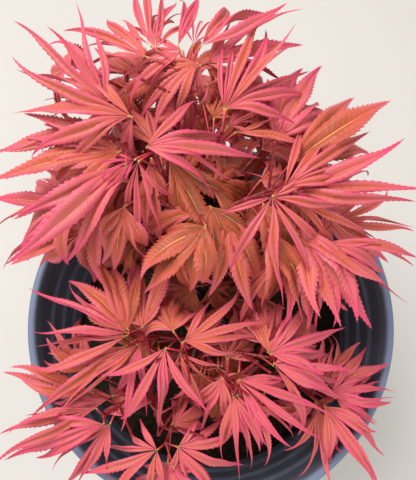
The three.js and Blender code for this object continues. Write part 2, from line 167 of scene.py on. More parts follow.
class Finish:
    """A material with one Principled shader, whose constants are set on the shader's own sockets."""

    def __init__(self, name, **constants):
        self.material = bpy.data.materials.new(name)
        self.material.use_nodes = True
        self.shader = self.material.node_tree.nodes["Principled BSDF"]
        self.give(**constants)

    def give(self, **sockets):
        """Sets or links sockets of the shader. In a name an underscore stands for a space."""
        for name, value in sockets.items():
            self.feed(self.shader.inputs[name.replace("_", " ")], value)

    def feed(self, socket, value):
        """Links a Value to a socket, and sets anything else on it."""
        if isinstance(value, Value):
            self.material.node_tree.links.new(value.socket, socket)
        else:
            socket.default_value = value

    def node(self, kind, settings, sockets, out=0):
        """Adds a node with its settings and what its sockets take, and gives the output that out names."""
        made = self.material.node_tree.nodes.new(kind)
        for key, value in settings.items():
            if key == "stops":
                self.set_stops(made.color_ramp, value)
            else:
                setattr(made, key, value)
        for key, value in sockets.items():
            self.feed(made.inputs[key], value)
        return Value(self, made.outputs[out])

    def set_stops(self, ramp, stops):
        """Puts stops on a new ramp, each a place from 0 to 1 and a screen colour."""
        ramp.elements.remove(ramp.elements[1])
        for place, colour in stops:
            stop = ramp.elements[0] if place == stops[0][0] else ramp.elements.new(place)
            stop.position = place
            stop.color = linear(colour)

    def place(self):
        """Where a point of the piece is, in metres."""
        return self.node("ShaderNodeTexCoord", {}, {}, "Object")

    def upward_part(self, vector):
        """How far a vector reaches up."""
        return self.node("ShaderNodeSeparateXYZ", {}, {"Vector": vector}, "Z")

    def noise(self, scale, detail=3, stretch=(1, 1, 1)):
        """Cloudy noise from 0 to 1. A stretch above 1 squeezes it along that axis."""
        spread = self.node("ShaderNodeMapping", {}, {"Vector": self.place(), "Scale": stretch})
        return self.node("ShaderNodeTexNoise", {}, {"Vector": spread, "Scale": scale, "Detail": detail})

    def ramp(self, value, stops):
        """A colour that runs through the stops as a value runs from 0 to 1."""
        return self.node("ShaderNodeValToRGB", {"stops": stops}, {"Fac": value})

    def mix(self, mask, low, high):
        """Blends two colours by a mask. In a colour mix the factor is input 0, the colours are inputs 6 and
        7, and the blend is output 2."""
        return self.node("ShaderNodeMix", {"data_type": "RGBA"}, {0: mask, 6: low, 7: high}, 2)

    def bump(self, height, distance):
        """Tilts the light by a height from 0 to 1 that stands for a distance in metres."""
        self.give(Normal=self.node("ShaderNodeBump", {}, {"Height": height, "Distance": distance}))


def linear(colour):
    """A screen colour of 0 to 255 as the linear colour that a shader takes, by the sRGB formula."""
    shares = np.asarray(colour, float) / 255
    low = shares / 12.92
    high = ((shares + 0.055) / 1.055) ** 2.4
    return (*np.where(shares <= 0.04045, low, high), 1.0)


# %% [markdown]
# Floor
#
# The pot stands on a plain pale card. A plane from the Add menu would do, but four corners in code say
# where it lies: a hair under the pot's foot, so that the two faces don't fight for the same place.

# %% Floor
FLOOR_SIDE = 14.0
FLOOR_DROP = 0.0002
FLOOR_STOPS = [(0.0, (214, 211, 205)), (1.0, (222, 219, 213))]


def plane_corners(half, height):
    """The four corners of a level square, anticlockwise from above."""
    return [(-half, -half, height), (half, -half, height), (half, half, height), (-half, half, height)]


floor_finish = Finish("floor_card", Roughness=0.9)
floor_finish.give(Base_Color=floor_finish.ramp(floor_finish.noise(scale=3.0), FLOOR_STOPS))
floor_mesh = bpy.data.meshes.new("floor")
floor_mesh.from_pydata(plane_corners(FLOOR_SIDE / 2, -FLOOR_DROP), [], [(0, 1, 2, 3)])
floor_mesh.materials.append(floor_finish.material)
floor = bpy.data.objects.new("floor", floor_mesh)
bpy.context.collection.objects.link(floor)
print("floor side:", FLOOR_SIDE, "m")

# %% [markdown]
# From a grid to a mesh
#
# A surface is a grid of points: rows along it and columns across it. Blender can loft curves or spin a
# profile, but a grid worked out as one array is quick and keeps the formula in sight. A closed grid joins
# its last column to its first. Rows that shrink to a point are merged, so a pole is closed.

# %% Mesh helpers
MERGE = 1e-6


def grid_faces(rows, columns, closed=False):
    """Quads of a grid whose points are numbered row by row."""
    row = np.arange(rows - 1)[:, None] * columns
    column = np.arange(columns if closed else columns - 1)[None, :]
    here = row + column
    beside = row + (column + 1) % columns
    return np.stack([here, beside, beside + columns, here + columns], -1).reshape(-1, 4)


def many_grids(count, rows, columns, closed=False):
    """Quads of several equal grids whose points follow one another."""
    faces = grid_faces(rows, columns, closed)
    starts = np.arange(count)[:, None, None] * rows * columns
    return (faces[None] + starts).reshape(-1, 4)


def crease_rows(data):
    """Marks the edges between neighbours in a row as sharp, so that every row shades as a crease."""
    ends = np.empty(2 * len(data.edges), np.int32)
    data.edges.foreach_get("vertices", ends)
    ends = ends.reshape(-1, 2)
    sharp = data.attributes.new("sharp_edge", "BOOLEAN", "EDGE")
    sharp.data.foreach_set("value", abs(ends[:, 0] - ends[:, 1]) == 1)


def make_piece(name, points, faces, finishes, slots=None, merge=False):
    """Turns points in millimetres and quads into a smooth Blender object at the origin."""
    data = bpy.data.meshes.new(name)
    data.vertices.add(len(points))
    data.vertices.foreach_set("co", (np.asarray(points) * MM).ravel())
    data.loops.add(faces.size)
    data.loops.foreach_set("vertex_index", faces.ravel().astype(np.int32))
    data.polygons.add(len(faces))
    data.polygons.foreach_set("loop_start", np.arange(0, faces.size, 4, dtype=np.int32))
    data.polygons.foreach_set("use_smooth", np.ones(len(faces), bool))
    for finish in finishes:
        data.materials.append(finish.material)
    if slots is not None:
        data.polygons.foreach_set("material_index", slots.astype(np.int32))
    data.update(calc_edges=True)
    if merge:
        shell = bmesh.new()
        shell.from_mesh(data)
        bmesh.ops.remove_doubles(shell, verts=shell.verts, dist=MERGE)
        bmesh.ops.recalc_face_normals(shell, faces=shell.faces)
        shell.to_mesh(data)
        shell.free()
    piece = bpy.data.objects.new(name, data)
    bpy.context.collection.objects.link(piece)
    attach(piece, "root")
    print(name, "faces:", len(data.polygons))
    return piece


def unit(vectors):
    """Vectors scaled to a length of 1."""
    vectors = np.asarray(vectors, float)
    return vectors / np.linalg.norm(vectors, axis=-1, keepdims=True)


def smooth(value, low, high):
    """0 below low, 1 above high and an even curve between them: 3 t squared minus 2 t cubed."""
    t = np.clip((value - low) / (high - low), 0, 1)
    return t * t * (3 - 2 * t)


# %% [markdown]
# Pot
#
# A nursery pot is blow moulded from black plastic: a straight taper, three shallow steps under the rim
# where pots stack, and a rolled lip. It is a spun profile. Blender's Screw modifier would do, but here the
# profile's corners are rounded first, then a grid turns it. The floor is made of eight equal wedges, each
# blended from a drain hole's circle out to the wedge's own outline.

# %% Pot sizes
POT_HEIGHT = 235
SOIL_TOP = 165
RIM_RADIUS = 130
RIM_BAND = 6
RIM_DEPTH = 10
LIP_TUCK = 1
LIP_ROUND = 1.5
LIP_DROP = 2
BASE_RADIUS = 98
FOOT_ROUND = 2
FLOOR_EDGE = BASE_RADIUS - 6
SHOULDER_RADIUS = 114
WALL = 2
POT_FLOOR = 3
STEP_COUNT = 3
STEP_OUT = 2.6
STEP_RISE = 3
STEP_TAPER = 0.8
STEP_LAP = 0.6
STEPS_ABOVE_SOIL = 5
CORNER_REACH = 1.6
CORNER_LIMIT = 0.45
POT_SEGMENTS = 192


def wall_profile():
    """Corners of the wall's outside above the soil: its taper's end, then steps outwards to the rim."""
    start = SOIL_TOP + STEPS_ABOVE_SOIL
    pitch = (POT_HEIGHT - RIM_DEPTH - start) / STEP_COUNT
    corners = [(SHOULDER_RADIUS, start)]
    radius = SHOULDER_RADIUS
    for step in range(STEP_COUNT):
        radius += STEP_OUT
        corners.append((radius, start + step * pitch + STEP_RISE))
        radius += STEP_TAPER
        corners.append((radius, start + (step + 1) * pitch))
    return corners


def rounded(corners, reach, steps=5):
    """Each corner becomes a small curve between the points that lie a reach before and after it, or less
    where a side is short."""
    corners = np.array(corners, float)
    before = corners[:-2] - corners[1:-1]
    after = corners[2:] - corners[1:-1]
    length_before = np.linalg.norm(before, axis=1, keepdims=True)
    length_after = np.linalg.norm(after, axis=1, keepdims=True)
    start = corners[1:-1] + before * np.minimum(reach / length_before, CORNER_LIMIT)
    end = corners[1:-1] + after * np.minimum(reach / length_after, CORNER_LIMIT)
    t = np.linspace(0, 1, steps)[None, :, None]
    curve = start[:, None] * (1 - t) ** 2 + corners[1:-1][:, None] * 2 * t * (1 - t) + end[:, None] * t**2
    return np.vstack([corners[:1], curve.reshape(-1, 2), corners[-1:]])


def spun(profile, segments):
    """A profile of radius and height turned about the upright axis: x, y are radius times cos and sin."""
    angle = np.linspace(0, 2 * np.pi, segments, endpoint=False)
    radius, height = profile[:, :1], profile[:, 1:]
    return np.stack([radius * np.cos(angle), radius * np.sin(angle), height + 0 * angle], -1)


# %% Pot wall and rim
outside = wall_profile()
inside = [(radius - WALL, height + STEP_LAP) for radius, height in outside][::-1]
lip = [
    (RIM_RADIUS - LIP_TUCK, POT_HEIGHT - RIM_DEPTH),
    (RIM_RADIUS, POT_HEIGHT - RIM_DEPTH + LIP_ROUND),
    (RIM_RADIUS, POT_HEIGHT - LIP_DROP),
    (RIM_RADIUS - LIP_ROUND, POT_HEIGHT),
    (RIM_RADIUS - RIM_BAND + LIP_ROUND, POT_HEIGHT),
    (RIM_RADIUS - RIM_BAND, POT_HEIGHT - LIP_ROUND),
]
foot = [(FLOOR_EDGE, 0), (BASE_RADIUS - FOOT_ROUND, 0), (BASE_RADIUS, FOOT_ROUND)]
heel = [(BASE_RADIUS - WALL, POT_FLOOR), (FLOOR_EDGE, POT_FLOOR)]
shell = spun(rounded(foot + outside + lip + inside + heel, CORNER_REACH), POT_SEGMENTS)
print("rows of the pot's wall:", len(shell))

# %% Pot floor with its drain holes
DRAIN_COUNT = 8
DRAIN_RADIUS = 6
DRAIN_CIRCLE = 80
WEDGE_INNER = 60
ARC_STEPS = POT_SEGMENTS // DRAIN_COUNT
RAY_STEPS = 12
FLOOR_ROWS = 9


def wedge_outline():
    """Once round a wedge of the floor, anticlockwise from the outer end of its right side."""
    half = np.pi / DRAIN_COUNT
    arc = np.linspace(-half, half, ARC_STEPS, endpoint=False)
    ray = np.linspace(FLOOR_EDGE, WEDGE_INNER, RAY_STEPS, endpoint=False)
    back = np.linspace(WEDGE_INNER, FLOOR_EDGE, RAY_STEPS, endpoint=False)
    radius = np.concatenate([0 * arc + FLOOR_EDGE, ray, 0 * arc + WEDGE_INNER, back])
    angle = np.concatenate([arc, 0 * ray + half, -arc, 0 * back - half])
    return np.stack([radius * np.cos(angle), radius * np.sin(angle)], -1)


def drained_wedges():
    """From each wedge's top edge over to the hole, down through it and back out along the underside."""
    outline = wedge_outline()
    bearing = np.arctan2(outline[:, 1], outline[:, 0] - DRAIN_CIRCLE)
    circle = np.stack([np.cos(bearing), np.sin(bearing)], -1) * DRAIN_RADIUS + (DRAIN_CIRCLE, 0)
    share = np.linspace(0, 1, FLOOR_ROWS)[:, None, None]
    flat = circle * (1 - share) + outline * share
    top = np.concatenate([flat, np.full(flat.shape[:2] + (1,), float(POT_FLOOR))], -1)[::-1]
    under = np.concatenate([flat, np.zeros(flat.shape[:2] + (1,))], -1)
    wedge = np.concatenate([top, under])
    turn = np.arange(DRAIN_COUNT) * 2 * np.pi / DRAIN_COUNT
    cos, sin = np.cos(turn)[:, None, None], np.sin(turn)[:, None, None]
    x, y, z = wedge[..., 0], wedge[..., 1], wedge[..., 2]
    return np.stack([x * cos - y * sin, x * sin + y * cos, z + 0 * cos], -1)


wedges = drained_wedges()
disc_rows = np.array([WEDGE_INNER, WEDGE_INNER // 2, 0])
discs = [spun(np.stack([disc_rows, 0 * disc_rows + height], -1), POT_SEGMENTS) for height in (0, POT_FLOOR)]
print("drain holes:", len(wedges))

# %% [markdown]
# The pot's finish
#
# Recycled plastic is nearly black with a faint blue sheen. Handling has worn the rim, and potting left a
# dry dust that lies on what faces up. Painted light is laid over both: a blue grey painted sheen of the sky
# on the rim and on what faces up, such as the steps, and a pale, patchy painted sheen on the inside of the
# wall. An image could be painted on, but it would need seams. Here colour, roughness and a fine moulded
# grain all come from noise on object coordinates, so nothing repeats round the wall. The inside is found by
# a sign: there the surface looks towards the pot's middle line, so its place times its facing is negative.

# %% Pot finish
PLASTIC_STOPS = [(0.3, (40, 43, 53)), (0.7, (52, 56, 68))]
# Dust, and a painted sheen of the sky on what faces up, such as the steps.
DUST_AND_SHEEN_COLOUR = (128, 138, 160)
# The rim is greyed by wear and by a painted blue grey sheen of the sky.
RIM_WEAR_AND_SHEEN_COLOUR = (116, 130, 160)
# A pale painted sheen on the inside of the wall.
INNER_SHEEN_COLOUR = (112, 120, 137)
RIM_WEAR_AND_SHEEN_FROM = 0.229

pot_finish = Finish("pot_plastic", Specular_IOR_Level=0.5)
cloud = pot_finish.noise(scale=26, detail=5)
streak = pot_finish.noise(scale=60, detail=4, stretch=(1, 1, 0.12))
speck = pot_finish.noise(scale=900, detail=2)
facing = pot_finish.node("ShaderNodeNewGeometry", {}, {}, "Normal")
upward = pot_finish.upward_part(facing).within(0.3, 0.95)
# Painted sheen on upward faces, mixed with dust in cloudy patches and streaks.
dust_and_sheen = (upward * 0.7 + 0.12) * cloud.within(0.2, 0.7) + streak.within(0.56, 0.8) * 0.12
plastic_colour = pot_finish.ramp(speck, PLASTIC_STOPS)
pot_colour = pot_finish.mix(dust_and_sheen, plastic_colour, linear(DUST_AND_SHEEN_COLOUR))
height = pot_finish.upward_part(pot_finish.place())
# Wear and painted sky sheen on the rim, stronger where it faces up.
rim_wear_and_sheen = height.within(RIM_WEAR_AND_SHEEN_FROM, POT_HEIGHT * MM) * (upward * 0.5 + 0.4) * (cloud * 0.5 + 0.75)
pot_colour = pot_finish.mix(rim_wear_and_sheen, pot_colour, linear(RIM_WEAR_AND_SHEEN_COLOUR))
level_place = pot_finish.node(
    "ShaderNodeVectorMath", {"operation": "MULTIPLY"}, {0: pot_finish.place(), 1: LEVEL}
)
outwards = pot_finish.node(
    "ShaderNodeVectorMath", {"operation": "DOT_PRODUCT"}, {0: level_place, 1: facing}, "Value"
)
# Painted sheen, patchy, on the inside of the wall, where the surface looks towards the middle line.
painted_inner_sheen = (outwards * -1).within(0.02, 0.1) * (cloud * 0.5 + 0.5)
pot_colour = pot_finish.mix(painted_inner_sheen, pot_colour, linear(INNER_SHEEN_COLOUR))
pot_finish.give(Base_Color=pot_colour, Roughness=dust_and_sheen * 0.45 + 0.34 + cloud * 0.1)
pot_finish.bump(speck * 0.5 + cloud * 0.5, 0.0004)

# %% Pot
pot_points = [shell.reshape(-1, 3)] + [disc.reshape(-1, 3) for disc in discs] + [wedges.reshape(-1, 3)]
pot_grids = [grid_faces(len(shell), POT_SEGMENTS, True)]
pot_grids += [grid_faces(len(disc_rows), POT_SEGMENTS, True) for disc in discs]
pot_grids += [many_grids(DRAIN_COUNT, 2 * FLOOR_ROWS, wedges.shape[2], True)]
starts = np.cumsum([0] + [len(points) for points in pot_points[:-1]])
pot_faces = np.vstack([faces + start for faces, start in zip(pot_grids, starts)])
pot_piece = make_piece("pot_body", np.vstack(pot_points), pot_faces, [pot_finish], merge=True)
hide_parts("pot")

# %% [markdown]
# Potting soil
#
# Soil in a pot is a low mound of crumbs and bark chips. It could be a bumpy plane with a displacement
# texture, but shape that comes from real height catches the light between the crumbs. The height is the
# mound of the frame, plus the tallest of many small domes that lie about at random.

# %% Soil surface
SOIL_MOUND = 5
SOIL_RIPPLE = 1.6
SOIL_FLAT = 20
SOIL_ROWS = 110
SOIL_SEGMENTS = 240
ROW_CROWDING = 0.8
CLEARANCE = 0.3
EDGE_LIFT = 2
EDGE_SHARE = 0.93
TRUNK_SHARES = (0.02, 0.16)
CRUMB_SEED = 41
CRUMB_COUNT = 900
CRUMB_TALL = 0.42
# The least value and the most that chance adds to it.
CRUMB_SIZE = (1.6, 3.4)
CRUMB_SQUASH = (0.45, 0.55)


def bore_radius(height):
    """The pot's inner radius below its steps: it grows evenly with height."""
    share = (height - POT_FLOOR) / (SOIL_TOP + STEPS_ABOVE_SOIL + STEP_LAP - POT_FLOOR)
    return BASE_RADIUS + (SHOULDER_RADIUS - BASE_RADIUS) * share - WALL


def mound(x, y):
    """The soil's level: away from the trunk it falls with the square of the radius, crossed by ripples."""
    radius = np.hypot(x, y)
    away = smooth(radius, SOIL_FLAT, 2 * SOIL_FLAT)
    fall = SOIL_MOUND * (radius / SHOULDER_RADIUS) ** 2
    ripple = SOIL_RIPPLE * (np.sin(x / 11 + 1) * np.cos(y / 13) + np.sin((x - y) / 7) * 0.4)
    return SOIL_TOP - away * (fall - ripple)


def crumbs(x, y):
    """The tallest dome over each point. A dome is as high as the root of one minus distance squared."""
    draw = np.random.default_rng(CRUMB_SEED)
    reach = bore_radius(SOIL_TOP) * np.sqrt(draw.random(CRUMB_COUNT))
    bearing = draw.random(CRUMB_COUNT) * 2 * np.pi
    size = CRUMB_SIZE[0] + CRUMB_SIZE[1] * draw.random(CRUMB_COUNT) ** 2
    squash = CRUMB_SQUASH[0] + CRUMB_SQUASH[1] * draw.random(CRUMB_COUNT)
    turn = draw.random(CRUMB_COUNT) * np.pi
    dx = x[..., None] - reach * np.cos(bearing)
    dy = y[..., None] - reach * np.sin(bearing)
    along = dx * np.cos(turn) + dy * np.sin(turn)
    across = (dy * np.cos(turn) - dx * np.sin(turn)) / squash
    dome = 1 - (along**2 + across**2) / size**2
    return (np.sqrt(np.clip(dome, 0, 1)) * size * CRUMB_TALL).max(-1)


soil_shoulder = SOIL_TOP - 2 * SOIL_MOUND
soil_edge = bore_radius(soil_shoulder) - CLEARANCE
soil_bottom = POT_FLOOR + CLEARANCE
side_profile = np.array(
    [(0, soil_bottom), (bore_radius(soil_bottom) - CLEARANCE, soil_bottom), (soil_edge, soil_shoulder)]
)
side = spun(side_profile, SOIL_SEGMENTS)
share = np.linspace(1, 0, SOIL_ROWS) ** ROW_CROWDING
top_profile = np.stack([soil_edge * share, 0 * share], -1)
top = spun(top_profile, SOIL_SEGMENTS)
settle = smooth(share, 1.0, EDGE_SHARE)[:, None]
level = mound(top[..., 0], top[..., 1]) + [crumbs(ring[:, 0], ring[:, 1]) for ring in top]
top[..., 2] = soil_shoulder + EDGE_LIFT + (level - soil_shoulder - EDGE_LIFT) * settle
near_trunk = smooth(share, *TRUNK_SHARES)[:, None]
top[..., 2] = SOIL_TOP + (top[..., 2] - SOIL_TOP) * near_trunk
soil_points = np.vstack([side.reshape(-1, 3), top.reshape(-1, 3)])
soil_faces = grid_faces(len(side) + len(top), SOIL_SEGMENTS, True)
print("crumbs stand up to", round(float(level.max() - SOIL_TOP), 1), "mm above the soil line")

# %% Soil finish
SOIL_STOPS = [(0.3, (22, 19, 14)), (0.5, (46, 38, 28)), (0.62, (74, 60, 43)), (0.75, (104, 84, 60))]
MOSS_COLOUR = (52, 58, 30)

soil_finish = Finish("potting_soil", Roughness=0.95, Specular_IOR_Level=0.2)
patches = soil_finish.noise(scale=38, detail=4)
grit = soil_finish.noise(scale=420)
soil_colour = soil_finish.ramp(grit * 0.6 + patches * 0.4, SOIL_STOPS)
moss = patches.within(0.56, 0.7) * 0.5
soil_finish.give(Base_Color=soil_finish.mix(moss, soil_colour, linear(MOSS_COLOUR)))
soil_finish.bump(grit, 0.0016)
soil_piece = make_piece("potting_soil", soil_points, soil_faces, [soil_finish], merge=True)
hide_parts("soil")

# %% [markdown]
# Wood
#
# The plant has a short trunk, two leaders and a bough for every shoot. Each limb follows a Bezier curve
# with the frame's own control points: it leaves its parent along the parent's run, then rises and bends
# over to its tip. Curve objects with a bevel would give smooth pipes. A grid wrapped round the curve
# can swell, ridge and taper, which is what makes bark.

# %% Curves
TRUNK_HEIGHT = 62
TRUNK_LEAN = 9
TRUNK_HEADING = 100
TRUNK_BOW = 1.5
TRUNK_BURIED = 3
PARENT_PULL = 0.55
LEVEL_PULL = 0.7
START_HANDLE = 0.35
END_HANDLE = 0.3


def along(curve, t):
    """A Bezier point: neighbouring control points are blended by t until one is left."""
    t = np.asarray(t, float)[..., None]
    points = [point + 0 * t for point in curve]
    while len(points) > 1:
        points = [a + (b - a) * t for a, b in zip(points, points[1:])]
    return points[0]


def slope(curve, t):
    """How fast a Bezier curve runs at t: the Bezier curve of the legs between its control points."""
    return along(np.diff(curve, axis=0) * (len(curve) - 1), t)


def trunk_curve():
    """From under the soil up to the fork, leaning and a little bowed."""
    foot_point = np.array([0, 0, SOIL_TOP - TRUNK_BURIED], float)
    heading = math.radians(TRUNK_HEADING)
    lean = (math.cos(heading) * TRUNK_LEAN, math.sin(heading) * TRUNK_LEAN)
    top_point = np.array([*lean, SOIL_TOP + TRUNK_HEIGHT])
    middle = (foot_point + top_point) / 2 + (TRUNK_BOW, -TRUNK_BOW, 0)
    return np.array([foot_point, middle, top_point])


def limb_curve(parent, at, tip):
    """Leaves the parent along its run, then arrives at the tip rising."""
    start = along(parent, at)
    end = np.array(tip, float)
    span = np.linalg.norm(end - start)
    leave = unit(unit(slope(parent, at)) * PARENT_PULL + unit(end - start))
    level_run = unit((end - start) * LEVEL)
    arrive = unit(level_run * LEVEL_PULL + UP)
    return np.array([start, start + leave * span * START_HANDLE, end - arrive * span * END_HANDLE, end])


def stretch(curve, start, end):
    """The part of a cubic curve between two values of t, as a cubic curve of its own."""
    third = (end - start) / 3
    first, last = along(curve, start), along(curve, end)
    return np.array([first, first + slope(curve, start) * third, last - slope(curve, end) * third, last])


def curve_length(curve):
    """The sum of two hundred short chords."""
    points = along(curve, np.linspace(0, 1, 201))
    return np.linalg.norm(np.diff(points, axis=0), axis=1).sum()


# %% [markdown]
# The shoots
#
# Every row is one shoot: its name, the leader it springs from and how far up, the place of its tip, the
# length of its longest lobe and the turn that its leaf pairs start from. These are the same rows that the
# solids were grown from, so each spray grows on where its solid stands.

# %% Shoots
FORK_AT = 0.97
LEADERS = {
    "leader_back": {"tip": (-19, 40, 311), "radius": 3.1, "tip_radius": 2.2},
    "leader_front": {"tip": (-8, -22, 268), "radius": 2.8, "tip_radius": 2.0},
}
SHOOTS = [
    ("crown_left", "leader_back", 0.97, (-52, 88, 352), 74, 20),
    ("crown_back", "leader_back", 1.0, (-14, 114, 354), 70, 60),
    ("crown_right", "leader_back", 0.92, (42, 58, 340), 74, 15),
    ("crown_middle", "leader_back", 0.98, (6, 84, 346), 62, 75),
    ("back_left", "leader_back", 0.84, (-50, 126, 338), 70, 10),
    ("back_right", "leader_back", 0.8, (44, 100, 332), 70, 80),
    ("right_side", "leader_back", 0.68, (63, 24, 317), 70, 30),
    ("left_side", "leader_back", 0.6, (-70, 60, 322), 66, 50),
    ("crown_centre", "leader_back", 0.95, (-30, 68, 355), 60, 0),
    ("crown_front", "leader_back", 0.74, (-8, 44, 328), 62, 45),
    ("front_left", "leader_front", 0.93, (-48, -18, 285), 70, 70),
    ("front_middle", "leader_front", 1.0, (-18, -30, 291), 60, 5),
    ("front_right", "leader_front", 0.97, (38, -34, 285), 68, 35),
    ("front_low", "leader_front", 0.99, (14, -54, 280), 60, 85),
    ("low_left", "leader_front", 0.82, (-66, -68, 268), 70, 25),
    ("low_front", "leader_front", 0.9, (-28, -84, 264), 64, 65),
    ("low_right", "leader_front", 0.7, (76, -58, 250), 68, 45),
    ("back_skirt", "leader_back", 0.5, (-8, 104, 296), 62, 0),
    ("right_skirt", "leader_back", 0.44, (66, 64, 290), 62, 90),
    ("left_skirt", "leader_back", 0.38, (-66, 84, 288), 62, 55),
    ("inner", "leader_back", 0.14, (24, 20, 256), 36, 12),
]
STEM_LENGTH = 42
STEM_NODES = (0.96, 0.62, 0.28)
BOUGH_LEAST = 0.35

limbs = {"trunk": trunk_curve()}
for name, leader in LEADERS.items():
    limbs[name] = limb_curve(limbs["trunk"], FORK_AT, leader["tip"])
boughs, stems = {}, {}
for name, parent, at, tip, lobe, turn in SHOOTS:
    whole = limb_curve(limbs[parent], at, tip)
    bough_end = max(BOUGH_LEAST, 1 - STEM_LENGTH / curve_length(whole))
    boughs[name] = stretch(whole, 0, bough_end)
    stems[name] = stretch(whole, bough_end, 1)
print("shoots:", len(SHOOTS), "longest bough:", round(max(map(curve_length, boughs.values()))), "mm")

# %% [markdown]
# Bark
#
# At this age the trunk is grey brown with fine upright fissures, and the boughs are smooth, dark red and
# ringed where old leaf pairs stood. Both are tubes. The radius is a taper times one plus a relief, and
# the relief is a few waves round and along the limb, which never line up. A displacement texture could
# roughen a plain tube, but it would know neither the flare at the soil nor the rings.

# %% Tubes
UPRIGHT_BELOW = 0.25


def tube_grid(centres, radius, sides):
    """Rings round lines of points. A ring's point is the centre plus radius times side cos plus lift sin.
    The side vector is level, so that rings don't twist, and both ends close in a point."""
    run = unit(np.gradient(centres, axis=1))
    chord = unit(centres[:, -1] - centres[:, 0])
    level_side = np.cross(chord, UP)
    upright = np.linalg.norm(level_side, axis=-1, keepdims=True) < UPRIGHT_BELOW
    reference = np.where(upright, np.array([1.0, 0, 0]), level_side)[:, None]
    side_way = unit(reference - (reference * run).sum(-1, keepdims=True) * run)
    lift = np.cross(run, side_way)
    angle = np.linspace(0, 2 * np.pi, sides, endpoint=False)[:, None]
    ring = side_way[:, :, None] * np.cos(angle) + lift[:, :, None] * np.sin(angle)
    points = centres[:, :, None] + ring * radius[..., None]
    first = centres[:, :1, None] + 0 * points[:, :1]
    last = centres[:, -1:, None] + 0 * points[:, :1]
    return np.concatenate([first, points, last], 1)


def taper(start, end, rows):
    """A radius that runs evenly from one value to another, ready to take a relief round the limb."""
    return np.linspace(start, end, rows)[None, :, None]


# %% Trunk and leaders
TRUNK_ROWS = 110
TRUNK_SIDES = 72
TRUNK_RADII = (6.5, 3.6)
FLARE_GAIN = 0.9
FLARE_HEIGHT = 12
BUTTRESS_GAIN = 0.25
LEADER_ROWS = 90
LEADER_SIDES = 36
RELIEF = 0.045
LEADER_RELIEF = 0.7 * RELIEF
LEADER_GRAIN = 95


def fissures(angle, length, folds):
    """Bark relief from -1 to 1: upright ridges that wander, crossed by slower swellings."""
    wander = 0.8 * np.sin(length / 9) + 0.5 * np.sin(length / 3.7 + 2)
    ridges = np.sin(folds * angle + wander) + 0.6 * np.sin((folds + 3) * angle - 1.4 * wander + length / 6)
    return (ridges + 0.5 * np.sin(length / 2.1 + 3 * angle)) / 2.1


def trunk_swell(share, angle):
    """The root flare: low buttresses at the soil that are gone at the flare's height."""
    above = np.clip(share * (TRUNK_HEIGHT + TRUNK_BURIED) - TRUNK_BURIED, 0, None)
    low = np.clip(1 - above / FLARE_HEIGHT, 0, None)
    return 1 + FLARE_GAIN * low**2 * (1 + BUTTRESS_GAIN * np.cos(4 * angle))


def limb_mesh(curves, radius, sides):
    """Points and quads of the tubes along several curves."""
    rows = radius.shape[1]
    centres = np.array([along(curve, np.linspace(0, 1, rows)) for curve in curves])
    grid = tube_grid(centres, radius + np.zeros((len(curves), rows, sides)), sides)
    return grid.reshape(-1, 3), many_grids(len(curves), rows + 2, sides, True)


angle = np.linspace(0, 2 * np.pi, TRUNK_SIDES, endpoint=False)[None, None]
share = np.linspace(0, 1, TRUNK_ROWS)[None, :, None]
trunk_radius = taper(*TRUNK_RADII, TRUNK_ROWS) * trunk_swell(share, angle)
trunk_grain = fissures(angle, share * (TRUNK_HEIGHT + TRUNK_BURIED), folds=9)
trunk_radius = trunk_radius * (1 + RELIEF * trunk_grain)
trunk_points, trunk_faces = limb_mesh([limbs["trunk"]], trunk_radius, TRUNK_SIDES)

angle = np.linspace(0, 2 * np.pi, LEADER_SIDES, endpoint=False)[None, None]
share = np.linspace(0, 1, LEADER_ROWS)[None, :, None]
leader_radius = np.concatenate(
    [taper(leader["radius"], leader["tip_radius"], LEADER_ROWS) for leader in LEADERS.values()]
)
leader_radius = leader_radius * (1 + LEADER_RELIEF * fissures(angle, share * LEADER_GRAIN, folds=6))
leader_points, leader_faces = limb_mesh([limbs[name] for name in LEADERS], leader_radius, LEADER_SIDES)
print("trunk rows:", TRUNK_ROWS, "leader rows:", LEADER_ROWS)

# %% Bark finish
def bark_finish(name, stops, roughness, depth):
    """Bark is a ramp over noise that is stretched upwards, with the same noise as its bump."""
    finish = Finish(name, Specular_IOR_Level=0.35)
    grain = finish.noise(scale=520, detail=4, stretch=(1, 1, 0.22))
    blotch = finish.noise(scale=90)
    mask = grain * 0.6 + blotch * 0.4
    finish.give(Base_Color=finish.ramp(mask, stops), Roughness=mask * 0.3 + roughness)
    finish.bump(grain, depth)
    return finish


BARK_STOPS = [(0.32, (52, 38, 30)), (0.48, (92, 70, 54)), (0.6, (124, 100, 80)), (0.72, (150, 130, 108))]
BOUGH_STOPS = [(0.32, (58, 22, 26)), (0.5, (104, 34, 40)), (0.64, (136, 58, 50)), (0.76, (150, 92, 70))]
old_bark = bark_finish("old_bark", BARK_STOPS, roughness=0.55, depth=0.0006)
bough_bark = bark_finish("bough_bark", BOUGH_STOPS, roughness=0.4, depth=0.0002)

trunk_piece = make_piece("trunk_bark", trunk_points, trunk_faces, [old_bark], merge=True)
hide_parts("trunk")
leader_piece = make_piece("leader_bark", leader_points, leader_faces, [old_bark], merge=True)
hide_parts(*LEADERS)

# %% Boughs
BOUGH_ROWS = 60
BOUGH_SIDES = 20
BOUGH_RADII = (2.0, 1.45)
BOUGH_RELIEF = 0.02
RING_EVERY = 17
RING_SPREAD = 1.2
RING_GAIN = 0.12


def rings(length):
    """A narrow swelling wherever a leaf pair once stood: e to the minus distance squared."""
    return np.exp(-(((length / RING_EVERY) % 1 - 0.5) * RING_EVERY) ** 2 / RING_SPREAD)


